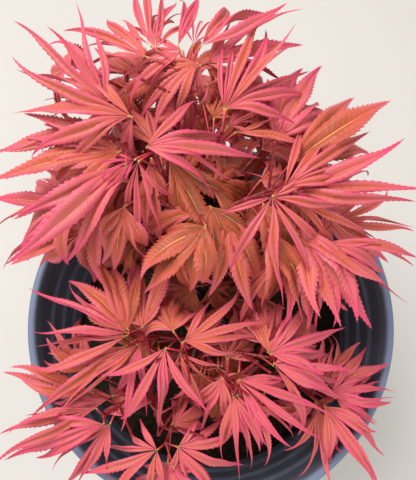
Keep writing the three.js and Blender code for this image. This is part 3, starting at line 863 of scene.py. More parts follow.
share = np.linspace(0, 1, BOUGH_ROWS)[None, :, None]
length = share * np.array([curve_length(curve) for curve in boughs.values()])[:, None, None]
angle = np.linspace(0, 2 * np.pi, BOUGH_SIDES, endpoint=False)[None, None]
bough_swell = 1 + RING_GAIN * rings(length) + BOUGH_RELIEF * fissures(angle, length, folds=5)
bough_radius = taper(*BOUGH_RADII, BOUGH_ROWS) * bough_swell
bough_points, bough_faces = limb_mesh(list(boughs.values()), bough_radius, BOUGH_SIDES)
bough_piece = make_piece("bough_bark", bough_points, bough_faces, [bough_bark], merge=True)
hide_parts(*["bough_" + name for name in boughs])

# %% [markdown]
# The rule of the crown
#
# Maple leaves stand in opposite pairs, and each pair is a quarter turn on from the last. A particle system
# could scatter leaves, but it doesn't know where a maple grows them. The rule walks each shoot from its tip
# down and puts a pair at every node, and at the two lower nodes also a twig with a pair at its end. A
# repeatable stream of numbers varies size, pitch and stalk. Up to there the draws come in the same order
# as for the solids, so the leaves hang in the same places. Then the rule goes on along the boughs and the
# leaders with pairs of old leaves, which fill the inside of the crown.

# %% Chance
def stream(seed):
    """A repeatable stream of numbers from 0 to 1 (the mulberry32 generator)."""
    state = seed
    mask = 0xFFFFFFFF

    def draw():
        nonlocal state
        state = (state + 0x6D2B79F5) & mask
        t = ((state ^ (state >> 15)) * (state | 1)) & mask
        t ^= (t + (((t ^ (t >> 7)) * (t | 61)) & mask)) & mask
        return (t ^ (t >> 14)) / 4294967296

    return draw


def at_least(least, spread, draw):
    """A value that chance puts between least and least plus spread."""
    return least + spread * draw()


def either_way(spread, draw):
    """A value that chance puts up to half the spread below or above 0."""
    return spread * (draw() - 0.5)


# %% A pair of leaves
CROWN_LEAN = np.array([-10, 60]) / 190
CROWN_FORWARD = (0, 20, 0)
CROWN_REACH = 75
OUTWARD_PULL = 0.9
PITCH = 0.1
PITCH_BY_AGE = 0.22
PITCH_BY_CHANCE = 0.16
PITCH_BY_HANG = 0.25
BACK_LIFT = 0.4
ROLL_SPREAD = 0.4
# The least value and the most that chance adds to it.
PAIR_SIZE = (0.9, 0.2)
STALK_RISE = (0.2, 0.5)
STALK_SHARE = (0.18, 0.12)
DROOP = (0.12, 0.25)


def outward_of(node):
    """How far a node lies from the crown's leaning middle line, as a share of its reach and at most 1."""
    middle = np.array([*(CROWN_LEAN * (node[2] - SOIL_TOP)), node[2]]) - CROWN_FORWARD
    away = (node - middle) / CROWN_REACH
    return away / max(1.0, np.linalg.norm(away))


def turned(vector, axis, angle):
    """A vector turned about an axis (the Rodrigues formula)."""
    cos, sin = math.cos(angle), math.sin(angle)
    return vector * cos + np.cross(axis, vector) * sin + axis * np.dot(axis, vector) * (1 - cos)


def leaf_pair(node, axis, turn, lobe, age, draw):
    """Two opposite leaves. The further out they stand, the more they look outwards and hang."""
    outward = outward_of(node)
    hang = np.linalg.norm(outward)
    across = unit(np.cross(axis, UP))
    pair = []
    for flip in (0, math.pi):
        facing = unit(turned(across, axis, turn + flip) * LEVEL) + outward * OUTWARD_PULL
        size = lobe * at_least(*PAIR_SIZE, draw)
        backward = max(0, facing[1] / math.hypot(facing[0], facing[1]))
        pitch = PITCH + PITCH_BY_AGE * age + PITCH_BY_CHANCE * draw()
        pair.append(
            {
                "node": node,
                "heading": math.atan2(facing[1], facing[0]),
                "pitch": pitch + PITCH_BY_HANG * hang - BACK_LIFT * backward,
                "roll": either_way(ROLL_SPREAD, draw),
                "rise": at_least(*STALK_RISE, draw),
                "stalk": size * at_least(*STALK_SHARE, draw),
                "droop": at_least(*DROOP, draw),
                "lobe": size,
                "age": age,
                "hang": hang,
            }
        )
    return pair


# %% Sites for leaves
SHOOT_SEED = 1009
SEED_STEP = 77
LEADER_SEED = 5
TIP_SIZE = 0.88
SIZE_STEP = 0.06
TWIG_LENGTH = 24
TWIG_VARIES = (0.85, 0.3)
TWIG_TURN = 0.8
TWIG_RISE = 0.7
TWIG_QUARTER = 0.7
TWIG_LOBE = 0.9
BOUGH_NODES = (0.94, 0.78, 0.6)
OLD_AGE = 2
OLD_SHARE = 0.86
LEADER_LOBE = 56
LEADER_TURN = 0.5
LEADER_NODES = {"leader_back": (0.3, 0.42, 0.54, 0.66), "leader_front": (0.4, 0.55, 0.7, 0.85)}


def shoot_sites(index):
    """A shoot's leaf sites in layers, the tip pair first and the pairs on the bough last, and its twigs."""
    name, _, _, _, lobe, turn = SHOOTS[index]
    draw = stream(SHOOT_SEED + SEED_STEP * index)
    layers = [[], [], [], [], []]
    twigs = []
    for k, share in enumerate(STEM_NODES):
        node = along(stems[name], share)
        axis = unit(slope(stems[name], share))
        quarter = math.radians(turn) + k * math.pi / 2
        pair = leaf_pair(node, axis, quarter, lobe * (TIP_SIZE + SIZE_STEP * k), k, draw)
        layers[k] += pair
        if k == 0:
            continue
        heading = pair[k - 1]["heading"] + TWIG_TURN
        out = unit([math.cos(heading), math.sin(heading), TWIG_RISE])
        end = node + out * TWIG_LENGTH * at_least(*TWIG_VARIES, draw)
        twigs.append((node, end))
        layers[2 + k] += leaf_pair(end, out, quarter + TWIG_QUARTER, lobe * TWIG_LOBE, 1 + k, draw)
    for k, share in enumerate(BOUGH_NODES):
        node = along(boughs[name], share)
        axis = unit(slope(boughs[name], share))
        quarter = math.radians(turn) + (k + len(STEM_NODES)) * math.pi / 2
        layers.append(leaf_pair(node, axis, quarter, lobe * OLD_SHARE, OLD_AGE, draw))
    for leaf in sum(layers, []):
        leaf["shoot"] = name
    return layers, twigs


def leader_sites():
    """Old leaf pairs low on the leaders. Each counts with the shoot that springs nearest to it."""
    draw = stream(LEADER_SEED)
    sites = []
    for name, shares in LEADER_NODES.items():
        for k, share in enumerate(shares):
            node = along(limbs[name], share)
            axis = unit(slope(limbs[name], share))
            pair = leaf_pair(node, axis, LEADER_TURN + k * math.pi / 2, LEADER_LOBE, OLD_AGE, draw)
            own = [row for row in SHOOTS if row[1] == name]
            nearest = min(own, key=lambda row: abs(row[2] - share))
            sites += [{**leaf, "shoot": nearest[0]} for leaf in pair]
    return sites


grown = [shoot_sites(index) for index in range(len(SHOOTS))]
print("leaf sites:", sum(len(layer) for layers, _ in grown for layer in layers))

# %% [markdown]
# Leaves with a known place
#
# Many leaves are in full view, so where their hearts and the tips of their middle lobes lie in the picture
# is known. They could be dragged to their places in the viewport, but a row for each can be read and
# corrected. A picture point is a ray from the eye. The heart is where its ray meets the height of the node
# that it grows from, and the tip is where its own ray is one lobe length away from the heart. Some rows
# are small leaves low in the crown, where little can be seen, and their places are guessed.

# %% Leaves in view
# The picture's height of 480 pixels times the lens over 36 mm.
FOCAL = 500
PICTURE_MIDDLE = (208, 240)
HEART_LIFT = 3.0
VIEW_DROOP = 0.22
LEAVES_AT_NODE = 2

eye = np.array(EYE) / MM
down = math.radians(LOOK_DOWN)
VIEW_AXES = np.array(
    [[1, 0, 0], [0, -math.sin(down), -math.cos(down)], [0, math.cos(down), -math.sin(down)]]
)
# Shoot, node from the tip, heart in the picture, middle tip in the picture, lobe length, fan, age.
IN_VIEW = [
    ("crown_left", 0, (107, 106), (17, 29), 68, 0.4, 0.3),
    ("crown_left", 0, (106, 105), (76, 12), 58, 0.3, 0.1),
    ("crown_left", 0, (131, 116), (4, 125), 72, 0.5, 0.4),
    ("crown_left", 0, (133, 117), (127, 168), 44, 0.3, 0.8),
    ("crown_left", 1, (118, 148), (28, 120), 58, 0.4, 0.7),
    ("crown_left", 1, (120, 152), (1, 183), 74, 0.45, 0.6),
    ("crown_left", 1, (126, 166), (20, 279), 80, 0.3, 0.6),
    ("crown_left", 2, (100, 128), (0, 163), 62, 0.3, 0.5),
    ("crown_left", 1, (104, 108), (44, 94), 34, 0.4, 0.2),
    ("crown_centre", 0, (146, 147), (264, 154), 66, 0.62, 0.3),
    ("crown_centre", 0, (138, 162), (140, 252), 58, 0.6, 0.1),
    ("crown_centre", 0, (134, 160), (90, 188), 28, 0.6, 0.0),
    ("crown_centre", 1, (151, 158), (160, 240), 60, 0.35, 0.6),
    ("crown_centre", 1, (168, 158), (214, 242), 62, 0.4, 1.0),
    ("crown_centre", 2, (160, 150), (128, 112), 36, 0.4, 0.8),
    ("crown_back", 2, (178, 116), (150, 141), 36, 0.5, 1.0),
    ("crown_centre", 2, (124, 206), (120, 274), 48, 0.5, 0.9),
    ("crown_back", 0, (151, 46), (142, -6), 52, 0.6, 0.3),
    ("crown_back", 0, (146, 57), (71, 32), 60, 0.6, 0.3),
    ("crown_back", 0, (198, 63), (136, 117), 48, 0.45, 0.4),
    ("crown_back", 0, (201, 65), (190, 119), 42, 0.35, 0.3),
    ("crown_back", 0, (183, 51), (116, 83), 45, 0.6, 0.4),
    ("crown_back", 1, (180, 68), (114, 111), 49, 0.45, 0.8),
    ("crown_back", 0, (178, 46), (203, -2), 46, 0.4, 0.3),
    ("back_left", 1, (136, 76), (92, 57), 36, 0.3, 0.9),
    ("crown_back", 2, (170, 80), (142, 134), 40, 0.6, 0.9),
    ("back_left", 1, (150, 72), (104, 78), 44, 0.6, 0.9),
    ("crown_back", 0, (194, 44), (204, 10), 20, 0.6, 0.0),
    ("crown_back", 1, (206, 66), (228, 91), 24, 0.6, 0.9),
    ("crown_back", 2, (188, 84), (176, 132), 34, 0.8, 1.0),
    ("crown_back", 0, (201, 46), (276, 11), 60, 0.4, 0.5),
    ("crown_back", 1, (206, 63), (303, 50), 64, 0.6, 0.6),
    ("crown_middle", 0, (225, 108), (302, 36), 64, 0.35, 0.3),
    ("crown_middle", 0, (226, 109), (312, 68), 62, 0.45, 0.4),
    ("crown_middle", 0, (224, 108), (231, 40), 46, 0.3, 0.1),
    ("crown_middle", 1, (236, 132), (310, 149), 46, 0.4, 0.4),
    ("crown_middle", 1, (203, 103), (164, 106), 28, 0.4, 0.2),
    ("crown_back", 1, (208, 84), (214, 120), 36, 0.6, 1.0),
    ("crown_middle", 1, (214, 134), (228, 152), 22, 0.9, 0.0),
    ("crown_middle", 1, (228, 126), (270, 112), 28, 0.5, 0.1),
    ("crown_right", 0, (284, 188), (374, 130), 68, 0.45, 0.2),
    ("crown_right", 0, (272, 197), (316, 308), 76, 1.1, 0.2),
    ("crown_right", 0, (296, 192), (318, 202), 18, 0.7, 0.0),
    ("crown_right", 1, (286, 191), (418, 194), 76, 0.4, 0.4),
    ("crown_right", 1, (292, 162), (391, 103), 68, 0.35, 0.9),
    ("crown_right", 2, (288, 200), (380, 240), 60, 0.3, 0.4),
    ("back_right", 0, (276, 140), (314, 65), 60, 0.5, 0.8),
    ("back_right", 0, (270, 108), (332, 128), 48, 0.5, 0.7),
    ("back_right", 1, (252, 134), (300, 104), 50, 0.6, 0.9),
    ("back_right", 1, (262, 150), (312, 132), 50, 0.6, 0.9),
    ("back_right", 2, (236, 104), (214, 68), 42, 1.0, 1.0),
    ("back_right", 2, (242, 110), (214, 130), 38, 1.0, 1.0),
    ("back_skirt", 0, (186, 98), (206, 60), 46, 1.0, 1.0),
    ("back_right", 1, (250, 118), (216, 126), 28, 1.0, 1.0),
    ("crown_middle", 1, (230, 106), (240, 138), 26, 1.0, 1.0),
    ("back_left", 2, (110, 104), (146, 76), 32, 1.0, 1.0),
    ("right_side", 0, (323, 243), (417, 262), 66, 0.4, 0.5),
    ("right_side", 0, (322, 248), (394, 306), 60, 0.6, 0.4),
    ("right_side", 0, (300, 226), (373, 336), 74, 0.35, 1.0),
    ("right_side", 1, (335, 222), (414, 228), 54, 0.6, 0.4),
    ("right_side", 1, (290, 226), (344, 334), 66, 0.3, 0.8),
    ("right_side", 1, (290, 240), (322, 334), 60, 0.3, 0.9),
    ("left_side", 0, (76, 204), (0, 213), 58, 0.5, 0.6),
    ("left_side", 0, (78, 206), (0, 258), 66, 0.45, 0.6),
    ("left_side", 1, (84, 232), (20, 262), 48, 0.4, 0.7),
    ("left_side", 1, (84, 198), (18, 203), 46, 0.5, 0.6),
    ("crown_front", 0, (211, 206), (213, 276), 50, 0.8, 1.0),
    ("crown_front", 0, (206, 226), (152, 298), 56, 0.45, 1.0),
    ("crown_front", 0, (204, 208), (136, 236), 52, 0.3, 0.9),
    ("crown_front", 1, (228, 212), (238, 312), 62, 0.4, 0.9),
    ("crown_right", 2, (262, 202), (300, 292), 62, 0.4, 1.0),
    ("right_side", 2, (274, 262), (236, 316), 54, 0.35, 0.5),
    ("crown_right", 2, (270, 232), (294, 320), 56, 0.35, 0.9),
    ("crown_right", 2, (261, 180), (292, 188), 26, 0.9, 0.9),
    ("front_left", 0, (128, 333), (22, 287), 72, 0.4, 0.3),
    ("front_left", 0, (126, 336), (27, 353), 66, 0.4, 0.3),
    ("front_left", 0, (128, 330), (82, 242), 62, 0.5, 0.7),
    ("front_left", 0, (143, 327), (140, 264), 50, 0.8, 0.8),
    ("front_left", 1, (150, 322), (174, 292), 40, 0.7, 0.9),
    ("front_left", 1, (126, 346), (36, 402), 70, 0.35, 0.4),
    ("front_left", 1, (137, 345), (44, 418), 76, 0.35, 0.2),
    ("front_left", 1, (140, 344), (124, 426), 58, 0.3, 0.2),
    ("front_middle", 0, (165, 348), (148, 446), 64, 0.6, 0.2),
    ("front_middle", 0, (184, 341), (260, 323), 52, 0.45, 0.2),
    ("front_middle", 0, (182, 342), (192, 352), 16, 0.8, 0.0),
    ("front_middle", 1, (180, 353), (205, 416), 46, 0.6, 0.1),
    ("front_middle", 1, (173, 331), (166, 290), 44, 1.0, 0.9),
    ("front_middle", 1, (196, 346), (222, 310), 46, 0.6, 0.9),
    ("front_low", 0, (222, 378), (204, 434), 52, 0.7, 0.5),
    ("front_low", 0, (238, 380), (320, 441), 68, 0.45, 0.1),
    ("front_low", 0, (240, 379), (292, 378), 38, 0.3, 0.1),
    ("front_low", 0, (238, 386), (248, 400), 16, 0.8, 0.0),
    ("front_low", 1, (233, 395), (245, 481), 56, 0.45, 0.2),
    ("front_low", 1, (238, 396), (264, 450), 42, 0.4, 0.1),
    ("front_low", 1, (250, 398), (292, 448), 46, 0.35, 0.3),
    ("front_low", 1, (228, 358), (256, 316), 50, 1.0, 0.8),
    ("front_low", 1, (226, 356), (204, 322), 42, 0.8, 0.9),
    ("front_right", 0, (270, 354), (345, 320), 56, 0.6, 0.5),
    ("front_right", 0, (268, 352), (277, 300), 44, 0.6, 0.6),
    ("front_right", 1, (264, 344), (244, 292), 50, 0.7, 0.9),
    ("front_right", 0, (274, 364), (356, 366), 56, 0.45, 0.4),
    ("front_right", 1, (274, 366), (340, 405), 60, 0.35, 0.4),
    ("low_right", 0, (331, 392), (394, 385), 50, 0.8, 0.5),
    ("low_right", 0, (324, 406), (388, 480), 64, 0.5, 0.5),
    ("low_right", 1, (318, 410), (322, 482), 54, 0.45, 0.5),
    ("low_right", 1, (328, 378), (358, 341), 36, 0.7, 0.7),
    ("low_right", 1, (328, 384), (391, 367), 48, 0.5, 0.6),
    ("low_right", 0, (336, 398), (392, 404), 44, 0.7, 0.4),
    ("low_right", 1, (316, 404), (270, 414), 38, 0.4, 0.9),
    ("low_left", 0, (104, 424), (-2, 450), 66, 0.4, 0.4),
    ("low_left", 0, (96, 408), (-4, 434), 64, 0.3, 0.4),
    ("low_left", 1, (110, 424), (66, 487), 56, 0.5, 0.4),
    ("low_left", 1, (92, 392), (0, 373), 60, 0.35, 0.6),
    ("low_left", 1, (130, 416), (124, 374), 38, 0.9, 0.9),
    ("low_left", 2, (84, 370), (46, 318), 40, 0.7, 0.7),
    ("low_left", 2, (112, 396), (60, 404), 42, 0.4, 0.9),
    ("low_front", 0, (157, 450), (86, 478), 54, 0.8, 0.4),
    ("low_front", 0, (178, 447), (242, 470), 56, 0.8, 0.4),
    ("low_front", 0, (174, 468), (192, 470), 18, 0.8, 0.0),
    ("low_front", 1, (172, 424), (205, 404), 36, 0.8, 0.8),
    ("low_front", 1, (168, 462), (172, 530), 56, 0.8, 0.4),
    ("inner", 0, (194, 287), (166, 316), 36, 0.9, 1.0),
    ("inner", 0, (209, 288), (232, 318), 36, 1.0, 1.0),
    ("back_skirt", 0, (216, 128), (250, 138), 34, 1.0, 1.0),
    ("back_skirt", 0, (204, 132), (190, 96), 34, 1.0, 1.0),
    ("back_left", 1, (134, 100), (96, 88), 30, 1.0, 1.0),
    ("back_left", 2, (112, 116), (70, 112), 32, 1.0, 1.0),
    ("back_left", 2, (140, 112), (164, 124), 26, 1.0, 1.0),
    ("back_right", 2, (264, 142), (236, 136), 26, 1.0, 1.0),
    ("crown_back", 0, (156, 50), (168, 2), 44, 0.5, 0.3),
    ("crown_back", 1, (192, 72), (198, 38), 26, 1.0, 1.0),
    ("back_right", 1, (262, 112), (250, 66), 36, 0.9, 0.9),
    ("crown_middle", 1, (214, 118), (232, 92), 22, 1.0, 1.0),
    ("back_left", 0, (126, 92), (138, 122), 24, 1.0, 0.9),
    ("back_right", 2, (252, 124), (232, 140), 36, 1.0, 1.0),
]


def ray(spot):
    """The direction from the eye through a picture point, one unit deep."""
    across = (spot[0] - PICTURE_MIDDLE[0]) / FOCAL
    below = (spot[1] - PICTURE_MIDDLE[1]) / FOCAL
    return np.array([across, below, 1]) @ VIEW_AXES


def leaf_in_view(shoot, k, heart, tip, lobe, fan, age):
    """A leaf whose heart and middle tip lie on two rays from the eye. The tip is where its ray leaves a
    ball round the heart, or passes it nearest."""
    node = along(stems[shoot], STEM_NODES[k])
    heart_ray = ray(heart)
    base = eye + heart_ray * (node[2] + HEART_LIFT - eye[2]) / heart_ray[2]
    tip_ray = unit(ray(tip))
    nearest = np.dot(base - eye, tip_ray)
    reach = lobe**2 - np.sum((base - eye - tip_ray * nearest) ** 2)
    end = eye + tip_ray * (nearest + math.sqrt(max(reach, 0)))
    chord = unit(end - base)
    level = unit(chord * LEVEL)
    pitch = math.asin(-chord[2]) - math.atan(VIEW_DROOP)
    x = level * math.cos(pitch) - UP * math.sin(pitch)
    z = level * math.sin(pitch) + UP * math.cos(pitch)
    return {
        "node": node,
        "base": base,
        "frame": np.array([x, np.cross(z, x), z]),
        "lobe": lobe,
        "droop": VIEW_DROOP,
        "age": age,
        "hang": np.linalg.norm(outward_of(node)),
        "shoot": shoot,
        "given_fan": fan,
    }


def stands_in(shoot, k):
    """How many leaves of the rule at a node give way to leaves in view."""
    return min(LEAVES_AT_NODE, sum(row[0] == shoot and row[1] == k for row in IN_VIEW))


seen = [leaf_in_view(*row) for row in IN_VIEW]
print("leaves in view:", len(seen))

# %% [markdown]
# Room for every leaf
#
# Leaves that pass through each other spoil a crown at once. A physics solver could push them apart. It is
# simpler to string small balls along each leaf's lobes and try the leaf in a few turns, hangs and sizes
# until none of its balls touches one that is taken. A block of small cubes remembers what is taken, so a
# test only looks up the cubes that the balls lie in. The limbs, the pot's wall and the leaves in view take
# their room first. The leaves of the rule also keep out of the eye's way to the leaves in view, and out
# of two places where the crown is open.

# %% A leaf's frame and balls
LOBE_ANGLES = np.radians([0, 25, 54, 92])
LOBE_LENGTHS = np.array([1, 0.92, 0.74, 0.44])
PAIRS_FROM = (0, 20, 54)
PAIRS_OPEN = (0.42, 0.75)
WIDEST_AT = 0.42
PITCH_LIMIT = 1.5
STALK_SINK = 0.6
BALL_SHARES = np.array([0.16, 0.3, 0.45, 0.6, 0.75, 0.9, 1])
STALK_BALLS = np.array([[0.45], [0.75]])
ROOM_LEAF = 0.010
ROOM_RIM = 0.1
ROOM_STALK = 0.4


def lobes_of(leaf):
    """Angles and length shares of the lobes: seven on a large open leaf, fewer on a small or shut one."""
    pairs = sum(leaf["lobe"] >= length for length in PAIRS_FROM)
    if "given_fan" in leaf:
        pairs = min(pairs, 1 + sum(leaf["given_fan"] > fan for fan in PAIRS_OPEN))
    k = np.arange(-pairs, pairs + 1)
    return np.sign(k) * LOBE_ANGLES[abs(k)], LOBE_LENGTHS[abs(k)]


def placed(site, turn, hang, size):
    """A leaf's frame: x runs out along its middle lobe and is pitched down, z is its face."""
    heading = site["heading"] + turn
    pitch = min(PITCH_LIMIT, site["pitch"] + hang)
    rise = site["rise"] - STALK_SINK * hang
    out = np.array([math.cos(heading), math.sin(heading), 0])
    base = site["node"] + site["stalk"] * (out * math.cos(rise) + UP * math.sin(rise))
    x = out * math.cos(pitch) - UP * math.sin(pitch)
    z = out * math.sin(pitch) + UP * math.cos(pitch)
    y = np.cross(z, x)
    roll = site["roll"]
    y, z = y * math.cos(roll) + z * math.sin(roll), z * math.cos(roll) - y * math.sin(roll)
    return {**site, "base": base, "frame": np.array([x, y, z]), "lobe": site["lobe"] * size}


def balls_of(leaf):
    """Balls along lobes and stalk as rows of x, y, z and radius."""
    angles, shares = lobes_of(leaf)
    s = BALL_SHARES[None]
    reach = leaf["lobe"] * shares[:, None] * s
    sunk = -leaf["droop"] * s * reach
    flat = np.stack([reach * np.cos(angles)[:, None], reach * np.sin(angles)[:, None], sunk], -1)
    points = flat.reshape(-1, 3) @ leaf["frame"] + leaf["base"]
    width = (1 - abs(s - WIDEST_AT)) * shares[:, None]
    radius = (ROOM_RIM + ROOM_LEAF * leaf["lobe"] * width).reshape(-1, 1)
    stalk = leaf["node"] + (leaf["base"] - leaf["node"]) * STALK_BALLS
    heart = [[*leaf["base"], ROOM_RIM + ROOM_LEAF * leaf["lobe"]]]
    return np.vstack([np.hstack([points, radius]), heart, np.hstack([stalk, [[ROOM_STALK]] * len(stalk)])])


# %% What the eye sees
VIEW_SPACE = 3.5
MAP_STEP = 2
MAP_START = -250
MAP_SIZE = (250, 250)
# Places in the picture where the crown is open, each with its reach.
GAPS = [(252, 186, 9), (338, 300, 12)]


def in_picture(points):
    """Picture points, and how deep they lie."""
    across, below, deep = (VIEW_AXES @ (points - eye).T)
    return np.stack([across, below], -1) / deep[:, None] * FOCAL, deep


def depth_map(balls):
    """For each small square of the picture, how deep the deepest near ball lies, or 0 for none. The map is
    filled row by row, which needs little memory."""
    spots, deep = in_picture(balls[:, :3])
    rows, columns = np.indices(MAP_SIZE) * MAP_STEP + MAP_START
    depths = np.zeros(MAP_SIZE)
    for k in range(len(depths)):
        away = np.hypot(columns[k][:, None] - spots[:, 0], rows[k][:, None] - spots[:, 1])
        depths[k] = np.where(away < VIEW_SPACE, deep, 0).max(-1)
    for x, y, reach in GAPS:
        open_spot = np.hypot(columns + PICTURE_MIDDLE[0] - x, rows + PICTURE_MIDDLE[1] - y) < reach
        depths[open_spot] = np.inf
    return depths


def covers_view(points):
    """True if a leaf would stand before a leaf in view or in an open place."""
    spots, deep = in_picture(points)
    column, row = np.rint((spots - MAP_START) / MAP_STEP).astype(int).T
    inside = (row >= 0) & (column >= 0) & (row < MAP_SIZE[0]) & (column < MAP_SIZE[1])
    return bool((deep[inside] < seen_depths[row[inside], column[inside]]).any())


seen_depths = depth_map(np.vstack([balls_of(leaf) for leaf in seen]))
print("squares of the picture kept clear:", int((seen_depths > 0).sum()))

# %% Room that is taken
ROOM_GAP = 0.7
ROOM_CUBE = 1.0
CUBE_REACH = 4
CUBE_STEPS = (np.indices([2 * CUBE_REACH + 1] * 3).reshape(3, -1).T - CUBE_REACH)[None]
SIZE_MARGIN = 0.02
WALL_BALLS = 3 * POT_SEGMENTS

reach_low = np.array(cad_box[0]) / MM
reach_high = np.array(cad_box[1]) / MM
spare = (reach_high - reach_low) * SIZE_MARGIN
room_start = reach_low - spare
room = np.zeros(((reach_high - reach_low + 2 * spare) / ROOM_CUBE).astype(int), bool)


def cubes_of(points):
    """The cube of the room that each point lies in."""
    return np.clip(((points - room_start) / ROOM_CUBE).astype(int), 0, np.array(room.shape) - 1)


def take(balls):
    """Marks the cubes whose middles lie within a gap of a ball."""
    cubes = cubes_of(balls[:, None, :3] + CUBE_STEPS * ROOM_CUBE)
    middles = room_start + (cubes + 0.5) * ROOM_CUBE
    near = np.linalg.norm(middles - balls[:, None, :3], axis=-1) < balls[:, 3:] + ROOM_GAP
    room[tuple(cubes[near].T)] = True


def curve_balls(curve, radius, steps):
    """Balls at even steps along a limb."""
    points = along(curve, np.linspace(0, 1, steps + 1))
    return np.hstack([points, np.full((len(points), 1), radius)])


for name in LEADERS:
    take(curve_balls(limbs[name], radius=3, steps=60))
for curve in boughs.values():
    take(curve_balls(curve, radius=1.8, steps=40))
for curve in stems.values():
    take(curve_balls(curve, radius=1.3, steps=24))
for radius, height in wall_profile()[1:] + [(RIM_RADIUS - RIM_BAND / 2, POT_HEIGHT - RIM_BAND / 2)]:
    ring = spun(np.array([[radius - WALL / 2, height]]), WALL_BALLS)[0]
    take(np.hstack([ring, np.full((len(ring), 1), RIM_BAND / 2)]))
for leaf in seen:
    take(balls_of(leaf))
print("cubes taken before the rule:", int(room.sum()))

# %% Place the leaves of the rule
LEAF_FLOOR = 190
TURNS = (0, 0.25, -0.25, 0.5, -0.5, 0.8, -0.8)
HANGS = (0, 0.25, -0.2, 0.6)
SIZES = (1, 0.88, 0.74)


def first_that_fits(site):
    """The first try that stays within the plant's reach and touches nothing that is taken."""
    for size, hang, turn in itertools.product(SIZES, HANGS, TURNS):
        leaf = placed(site, turn, hang, size)
        balls = balls_of(leaf)
        points = balls[:, :3]
        if points[:, 2].min() < LEAF_FLOOR:
            continue
        if (points < reach_low - spare).any() or (points > reach_high + spare).any():
            continue
        if not room[tuple(cubes_of(points).T)].any() and not covers_view(points):
            return leaf, balls
    return None, None


sites = []
for layer in range(len(grown[0][0])):
    for row, (layers, _) in zip(SHOOTS, grown):
        sites += layers[layer][stands_in(row[0], layer) :]
leaves = list(seen)
for site in sites + leader_sites():
    leaf, balls = first_that_fits(site)
    if leaf:
        leaves.append(leaf)
        take(balls)
print("leaves placed:", len(leaves))

# %% [markdown]
# A lobe as one surface
#
# Seen closely a lobe is a folded blade: narrow where it joins the heart of the leaf, widest before the
# middle, drawn out into a long thin tip with saw teeth. Its halves stand up from a sunken midrib and are
# domed, their margins roll back, and it arches over as it runs out. Modelling one leaf and copying it
# would repeat itself. Here every lobe has its own sizes, and all lobes of a spray are worked out at once.
# The points of a row slant forward as side veins do, so every second row is a vein that sinks in and ends
# in a tooth. The middle lobe of a leaf in view varies less, because its tip is known.

# %% Width along a lobe
LOBE_ROWS = 40
ACROSS = np.array([-1, -0.8, -0.42, -0.045, 0.045, 0.42, 0.8, 1])
BLADE_POWERS = (1.6, 2.6)
TAIL_WIDTH = 0.12
LEAST_WIDTH = 0.012

run_steps = np.linspace(0, 1, LOBE_ROWS)
ROW_SHARE = 1.2 * run_steps - 0.2 * run_steps**2
print("quads of a lobe:", (LOBE_ROWS - 1) * (len(ACROSS) - 1))


def blade(s):
    """Half width along a lobe as a share of the widest: s to a power times 1 - s to a power, with a narrow
    tail towards the tip."""
    rise, fall = BLADE_POWERS
    peak = rise / (rise + fall)
    shape = s**rise * (1 - s) ** fall / (peak**rise * (1 - peak) ** fall)
    tail = TAIL_WIDTH * smooth(s, 0.3, 0.7) * (1 - smooth(s, 0.88, 1))
    return np.maximum(shape * (1 - tail) + tail, LEAST_WIDTH)


# %% Sizes of the lobes
HEEL = math.radians(42)
MIDDLE_FREEDOM = 0.35
ANGLE_SPREAD = 0.3
MEAN_LENGTH = 1.04
LENGTH_SPREAD = 0.24
LENGTH_LESS = 0.2
SWAY_SPREAD = 1.25
HOOK_SPREAD = 1.6
LOBE_ROLL = 2.1
TWIST_SPREAD = 2.2
DROOP_SPREAD = 1.4
DIP_SPREAD = 0.85
CURL_SPREAD = 0.7
CURL_LESS = 0.4
LOBE_WIDTH = (0.78, 0.4)
TINT_SPREAD = 0.12
FULL_WAVE = 6.28


def lobe_table(leaf, draw):
    """One row of sizes for each lobe of a leaf. Neighbours share the ray half way between them, and the
    middle lobe of a leaf in view keeps near the line to its known tip."""
    angles, shares = lobes_of(leaf)
    freedom = np.ones(len(angles))
    if "given_fan" in leaf:
        freedom[len(angles) // 2] = MIDDLE_FREEDOM
    angles = np.sort(angles * leaf["fan"] + freedom * [either_way(ANGLE_SPREAD, draw) for _ in angles])
    half = np.diff(angles) / 2
    left = np.append(half, HEEL)
    right = np.insert(half, 0, HEEL)
    shared = {key: leaf[key] for key in ("base", "frame", "fold", "cup", "teeth", "young")}
    table = []
    for k, free in enumerate(freedom):
        lobe = {**shared, "size": leaf["lobe"], "angle": angles[k], "share": shares[k]}
        lobe["left"] = left[k]
        lobe["right"] = right[k]
        length = MEAN_LENGTH + free * (LENGTH_SPREAD * draw() - LENGTH_LESS)
        lobe["length"] = leaf["lobe"] * shares[k] * length
        lobe["sway"] = either_way(free * SWAY_SPREAD, draw)
        lobe["hook"] = either_way(free * HOOK_SPREAD, draw)
        lobe["roll"] = either_way(LOBE_ROLL, draw)
        lobe["twist"] = either_way(TWIST_SPREAD, draw)
        lobe["droop"] = leaf["droop"] * (1 + free * (DROOP_SPREAD * draw() - DROOP_SPREAD / 2))
        lobe["dip"] = either_way(free * DIP_SPREAD, draw)
        lobe["curl"] = leaf["curl"] + free * CURL_SPREAD * (draw() - CURL_LESS)
        lobe["phase"] = FULL_WAVE * draw()
        lobe["wide"] = leaf["wide"] * at_least(*LOBE_WIDTH, draw)
        lobe["tint"] = leaf["tone"] + either_way(TINT_SPREAD, draw)
        table.append(lobe)
    return table


def columns_of(table):
    """Every size as one array with a value for each lobe, ready to spread over rows and columns."""
    return {key: np.array([row[key] for row in table])[:, None, None] for key in table[0]}


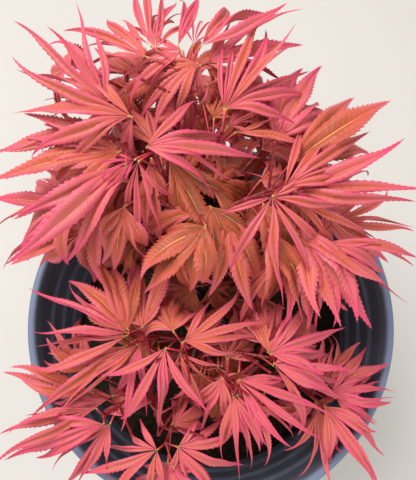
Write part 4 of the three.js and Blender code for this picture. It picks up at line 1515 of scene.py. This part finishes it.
# %% Lobe surface
NOTCH = 0.11
PARTED_GAIN = 8
HEART_RISE = 0.18
HOOK_FROM = 0.65
TOOTH_LEAST = 0.3
TOOTH_GROWTH = 0.7
TOOTH_LEAN = 0.9
MARGIN = 0.9
DOME = 0.46
DOME_POWER = 0.8
MARGIN_ROLL = 0.1
VEIN_SLANT = 0.75
VEIN_DEPTH = 0.34
RUFFLE = 0.1
RUFFLE_RUN = 3.1
RIM_SPACE = 2
LIFTED_FROM = BASE_RADIUS + 6


def midrib_of(t, s, freed):
    """The midrib, and the ways ahead, to the side and out of the face at each of its rows. The midrib is
    the running sum of short steps along its heading and pitch."""
    pitch = 2 * t["droop"] * s - HEART_RISE * (1 - s)
    pitch = pitch + (t["cup"] * abs(t["angle"]) + t["dip"]) * freed + t["curl"] * s**3
    heading = t["angle"] + t["sway"] * s**1.5 * freed + t["hook"] * smooth(s, HOOK_FROM, 1)
    cos_h, sin_h, cos_p, sin_p = np.cos(heading), np.sin(heading), np.cos(pitch), np.sin(pitch)
    ahead = np.concatenate([cos_p * cos_h, cos_p * sin_h, -sin_p], -1)
    sideways = np.concatenate([-sin_h, cos_h, 0 * sin_h], -1)
    face = np.concatenate([sin_p * cos_h, sin_p * sin_h, cos_p], -1)
    twist = (t["roll"] + t["twist"] * s) * freed
    cos_t, sin_t = np.cos(twist), np.sin(twist)
    sideways, face = sideways * cos_t + face * sin_t, face * cos_t - sideways * sin_t
    steps = (ahead[:, 1:] + ahead[:, :-1]) / 2 * np.diff(t["length"] * s, axis=1)
    midrib = np.concatenate([0 * ahead[:, :1], np.cumsum(steps, 1)], 1)
    return midrib, ahead, sideways, face


def offsets_of(t, s, freed):
    """How far each point of the blade lies to the side of its midrib, out of the face and ahead. Its half
    width goes to the side by cos of the fold and out by sin of the fold, and then come the dome, the
    rolled margin, the sunken veins and a ruffle."""
    v = ACROSS[None, None, :]
    outer = abs(v)
    at_margin = outer > MARGIN
    on_vein = (np.arange(LOBE_ROWS) % 2)[None, :, None]
    run = t["length"] * s
    leaf_share = run / t["size"]
    tooth = on_vein * at_margin * smooth(s, 0.2, 0.4) * (1 - smooth(s, 0.93, 1))
    half = t["wide"] * t["size"] * (0.5 + 0.5 * t["share"]) * blade(s)
    half = half + tooth * t["teeth"] * (TOOTH_LEAST + TOOTH_GROWTH * blade(s))
    fold = t["fold"] * (1.15 - 0.5 * leaf_share)
    shared_ray = np.tan(np.where(v > 0, t["left"], t["right"]))
    parted = smooth(leaf_share, 0.7 * NOTCH, 2 * NOTCH)
    limit = run * shared_ray * (1 + PARTED_GAIN * parted)
    side = np.minimum(half * np.cos(fold), limit)
    out = side * outer * np.tan(fold)
    out = out + DOME * half * np.sin(np.pi * outer**DOME_POWER) - MARGIN_ROLL * half * at_margin
    vein = VEIN_DEPTH * (1 - 0.5 * t["young"]) * blade(s) * np.sin(np.pi * outer) * freed * on_vein
    out = out - vein + RUFFLE * side * v**2 * np.sin(run / RUFFLE_RUN + t["phase"] + np.sign(v))
    forward = tooth * t["teeth"] * TOOTH_LEAN + VEIN_SLANT * side * outer * freed
    return side * v, out, forward


def over_the_rim(points):
    """Lifts lobes that reach over the pot, from the leaf floor inside its wall up to above the rim."""
    radius = np.hypot(points[..., 0], points[..., 1])
    lifted = smooth(radius, LIFTED_FROM, RIM_RADIUS - RIM_BAND)
    least = LEAF_FLOOR + (POT_HEIGHT + RIM_SPACE - LEAF_FLOOR) * lifted
    points[..., 2] = np.where(radius > LIFTED_FROM, np.maximum(points[..., 2], least), points[..., 2])
    return points


def lobe_surface(table):
    """Points of all lobes: the midrib plus the blade's offsets along the three ways, set into each leaf's
    frame. A lobe bends freely only beyond the notch between it and its neighbour."""
    t = columns_of(table)
    s = ROW_SHARE[None, :, None]
    freed = smooth(t["length"] * s / t["size"], NOTCH, 3.5 * NOTCH)
    midrib, ahead, sideways, face = midrib_of(t, s, freed)
    points = midrib[:, :, None]
    for way, offset in zip((sideways, face, ahead), offsets_of(t, s, freed)):
        points = points + way[:, :, None] * offset[..., None]
    return over_the_rim(t["base"] + (points[..., None] * t["frame"]).sum(-2))


# %% [markdown]
# Leaf colours
#
# New growth is hot pink, full leaves are coral with pink rims and tips, and old ones turn to orange and
# olive brown. Leaves deep in the crown are set darker and more orange, and so are the faces beside the
# midrib
# near the heart: partly their own colour, partly painted shade. A texture could paint that, but its picture
# would blur over so many small blades. A fine ladder of plain colours is exact: each small face takes the
# step that its age, its leaf's place in the crown, its place along the lobe and its distance from the
# midrib call for.

# %% Leaf finishes
TINT_STOPS = [
    (0.0, (136, 70, 42)),
    (0.18, (176, 82, 52)),
    (0.36, (204, 92, 66)),
    (0.55, (211, 99, 96)),
    (0.75, (217, 95, 110)),
    (1.0, (220, 72, 108)),
]
TINT_COUNT = 20
RIB_COLOURS = {
    "leaf_midrib": (234, 172, 100),
    "leaf_midrib_tip": (230, 132, 98),
    "leaf_heart": (206, 160, 92),
}
MIDRIB, MIDRIB_TIP, HEART = range(TINT_COUNT, TINT_COUNT + len(RIB_COLOURS))
MIDRIB_END = 0.6
MIDRIB_TIP_END = 0.8
HEART_END = 0.02
TIP_TINT = 0.34
RIM_TINT = 0.34
YOUNG_RIM_TINT = 0.24
# Painted shade in the crease of the sunken midrib towards the heart, on top of the leaf's own more orange
# base.
BASE_AND_CREASE_SHADE_TINT = 0.06
RIB_TINT = 0.03

tint_places = [place for place, _ in TINT_STOPS]
tint_colours = np.array([colour for _, colour in TINT_STOPS], float)


def tint(value):
    """The colour at a place on the ladder, blended channel by channel between its stops."""
    return [float(np.interp(value, tint_places, tint_colours[:, channel])) for channel in range(3)]


def plain_finish(name, colour, roughness=0.5):
    """One colour all over, set on the shader's own sockets."""
    return Finish(name, Base_Color=linear(colour), Roughness=roughness, Specular_IOR_Level=0.5)


def face_finishes(table):
    """The finish of every face: the tint rises to the tip and the rim, and falls beside the midrib near the
    heart, partly as painted shade in the crease.
    """
    t = columns_of(table)
    s = ((ROW_SHARE[1:] + ROW_SHARE[:-1]) / 2)[None, :, None]
    v = abs((ACROSS[1:] + ACROSS[:-1]) / 2)[None, None, :]
    cloud = 0.04 * np.sin(9 * s + t["phase"]) + 0.03 * np.sin(23 * s + 5 * v + 2 * t["phase"])
    rim = RIM_TINT + YOUNG_RIM_TINT * t["young"]
    rib = RIB_TINT * (np.arange(LOBE_ROWS - 1) % 2)[None, :, None]
    # The last term darkens the faces beside the midrib near the heart: partly the leaf's orange base,
    # partly painted shade.
    value = t["tint"] + TIP_TINT * smooth(s, 0.5, 0.95) + rim * v**4 - BASE_AND_CREASE_SHADE_TINT * (1 - v) * (1 - s)
    value = value + cloud + rib
    index = np.clip(np.rint(value * (TINT_COUNT - 1)), 0, TINT_COUNT - 1)
    central = v < abs(ACROSS).min()
    index = np.where(central & (s < MIDRIB_TIP_END), MIDRIB_TIP, index)
    index = np.where(central & (s < MIDRIB_END), MIDRIB, index)
    index = np.where(s * t["length"] < HEART_END * t["size"], HEART, index)
    return index.reshape(-1).astype(int)


leaf_finishes = [plain_finish(f"leaf_tint_{i:02d}", tint(i / (TINT_COUNT - 1))) for i in range(TINT_COUNT)]
leaf_finishes += [plain_finish(name, colour) for name, colour in RIB_COLOURS.items()]
print("leaf finishes:", len(leaf_finishes))

# %% [markdown]
# Sprays
#
# A spray is all the leaves of one shoot. How a leaf looks follows from its age: the tip pair is narrow,
# folded and half shut, and lower pairs are broad, flat and toothed. Sculpting each by hand would take days.
# A few sums of age and chance give every leaf its own character in the same way each time.

# %% Leaf character
AGE_START = 0.35
FULL_AGE = 2.2
AGE_VARIES = (0.75, 0.5)
FAN_LEAST = 0.32
FAN_SHARE = 0.66
# What a young leaf has, what age adds, and the most that chance adds.
FAN = (0.4, 0.4, 0.2)
WIDTH = (0.044, 0.068, 0.014)
FOLD = (0.85, -0.5, 0.3)
TEETH = (0.3, 0.9, 0)
TONE = (0.6, -0.26, 0)
CUP = (0.1, 0.3)
LEAF_CURL = 0.25
LEAF_CURL_LESS = 0.3
TUFT_CURL = 2.2
TUFT_TONE = 0.3
# Leaves deep in the crown take a darker, more orange tone, partly painted shade. Outer ones take a pinker
# one.
OUTER_TONE_AND_INNER_SHADE = 0.24
MEAN_HANG = 0.6
TONE_SPREAD = 0.34


def by_age(measure, age, chance):
    """What a young leaf has, plus what age adds, plus what chance adds."""
    return measure[0] + measure[1] * age + measure[2] * chance


def character(leaf, draw):
    """Adds fan, fold, width, teeth and tone to a placed leaf. A tuft is a leaf of age 0."""
    vary = at_least(*AGE_VARIES, draw)
    old = leaf["age"] if "given_fan" in leaf else min(1.0, (AGE_START + leaf["age"]) / FULL_AGE * vary)
    tuft = old == 0
    leaf["young"] = 1 - old
    leaf["fan"] = FAN_LEAST + FAN_SHARE * leaf.get("given_fan", by_age(FAN, old, draw()))
    leaf["wide"] = by_age(WIDTH, old**1.6, draw())
    leaf["fold"] = by_age(FOLD, old, draw() - 0.5)
    leaf["curl"] = LEAF_CURL * (draw() - LEAF_CURL_LESS) + TUFT_CURL * tuft
    leaf["cup"] = at_least(*CUP, draw)
    leaf["teeth"] = by_age(TEETH, old, 0)
    # The last term is partly painted shade: it darkens leaves deep in the crown.
    tone = by_age(TONE, old, 0) + TUFT_TONE * tuft + OUTER_TONE_AND_INNER_SHADE * (leaf["hang"] - MEAN_HANG)
    leaf["tone"] = tone + either_way(TONE_SPREAD, draw)


# %% Make the sprays
LOOKS_SEED = 7

draw = stream(LOOKS_SEED)
for leaf in leaves:
    character(leaf, draw)
for name in boughs:
    own = [leaf for leaf in leaves if leaf["shoot"] == name]
    table = sum([lobe_table(leaf, draw) for leaf in own], [])
    points = lobe_surface(table).reshape(-1, 3)
    faces = many_grids(len(table), LOBE_ROWS, len(ACROSS))
    spray = make_piece("spray_" + name, points, faces, leaf_finishes, face_finishes(table))
    crease_rows(spray.data)
    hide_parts("leaves_" + name)
print("leaves in all:", len(leaves))

# %% [markdown]
# Stems, twigs and stalks
#
# The new wood is crimson and thin. Each stalk is a fine tube that bows up a little from its node to the
# heart of its leaf, where it swells and turns yellow green. A bevelled curve would be quick, but its
# colour would be the same from end to end.

# %% Stalks
STALK_ROWS = 12
STALK_SIDES = 7
STALK_RADIUS = 0.62
STALK_BOW = 0.12
FOOT_SWELL = 0.35
HEART_SWELL = 0.12
WOOD_TINTS = [(116, 22, 30), (136, 26, 34), (156, 32, 40), (178, 44, 52), (196, 76, 62), (206, 150, 90)]
# Places along a stalk, and the wood tint at each.
STALK_TINTS = ([0, 0.3, 0.8, 0.9, 1], [1, 2, 4, 5, 5])

wood_finishes = [
    plain_finish(f"stalk_tint_{i}", colour, roughness=0.4) for i, colour in enumerate(WOOD_TINTS)
]
nodes = np.array([leaf["node"] for leaf in leaves])
bases = np.array([leaf["base"] for leaf in leaves])
spans = np.linalg.norm(bases - nodes, axis=1, keepdims=True)
print("longest stalk:", round(float(spans.max())), "mm")
middles = (nodes + bases) / 2 + UP * STALK_BOW * spans
t = np.linspace(0, 1, STALK_ROWS)[None, :, None]
centres = nodes[:, None] * (1 - t) ** 2 + middles[:, None] * 2 * t * (1 - t) + bases[:, None] * t**2
stalk_shape = 1 + FOOT_SWELL * smooth(t, 0.25, 0) + HEART_SWELL * smooth(t, 0.9, 0.98)
stalk_radius = STALK_RADIUS * stalk_shape + np.zeros((len(leaves), STALK_ROWS, STALK_SIDES))
stalk_points = tube_grid(centres, stalk_radius, STALK_SIDES).reshape(-1, 3)
stalk_faces = many_grids(len(leaves), STALK_ROWS + 2, STALK_SIDES, True)
row_tints = np.interp(np.linspace(0, 1, STALK_ROWS + 1), *STALK_TINTS)
stalk_slots = np.tile(np.repeat(np.rint(row_tints), STALK_SIDES), len(leaves))
stalks = make_piece("leaf_stalks", stalk_points, stalk_faces, wood_finishes, stalk_slots, merge=True)

# %% Stems and twigs
STEM_ROWS = 40
STEM_SIDES = 12
STEM_RADII = (1.45, 0.85)
TWIG_RADII = (0.85, 0.7)
TWIG_NODES = (0.5, 0.97)
NODE_GAIN = 0.35
NODE_SPREAD = 0.03
# The wood tint goes up after this many rows, and starts again after this many.
TINT_ROWS = 2
TINT_CYCLE = 5


def swollen(share, places):
    """One, plus a swelling at each place where a pair of stalks leaves: e to the minus distance squared."""
    return 1 + NODE_GAIN * sum(np.exp(-(((share - place) / NODE_SPREAD) ** 2)) for place in places)


share = np.linspace(0, 1, STEM_ROWS)[None, :, None]
stem_radius = taper(*STEM_RADII, STEM_ROWS) * swollen(share, STEM_NODES)
stem_points, stem_faces = limb_mesh(list(stems.values()), stem_radius, STEM_SIDES)
twig_lines = [np.array([start, end]) for _, twigs in grown for start, end in twigs]
twig_radius = taper(*TWIG_RADII, STEM_ROWS) * swollen(share, TWIG_NODES)
twig_points, twig_faces = limb_mesh(twig_lines, twig_radius, STEM_SIDES)
wood_points = np.vstack([stem_points, twig_points])
wood_faces = np.vstack([stem_faces, twig_faces + len(stem_points)])
wood_tints = np.arange(len(wood_faces) // STEM_SIDES) % TINT_CYCLE // TINT_ROWS
wood_slots = np.repeat(wood_tints, STEM_SIDES)
twig_piece = make_piece("stems_and_twigs", wood_points, wood_faces, wood_finishes, wood_slots, merge=True)
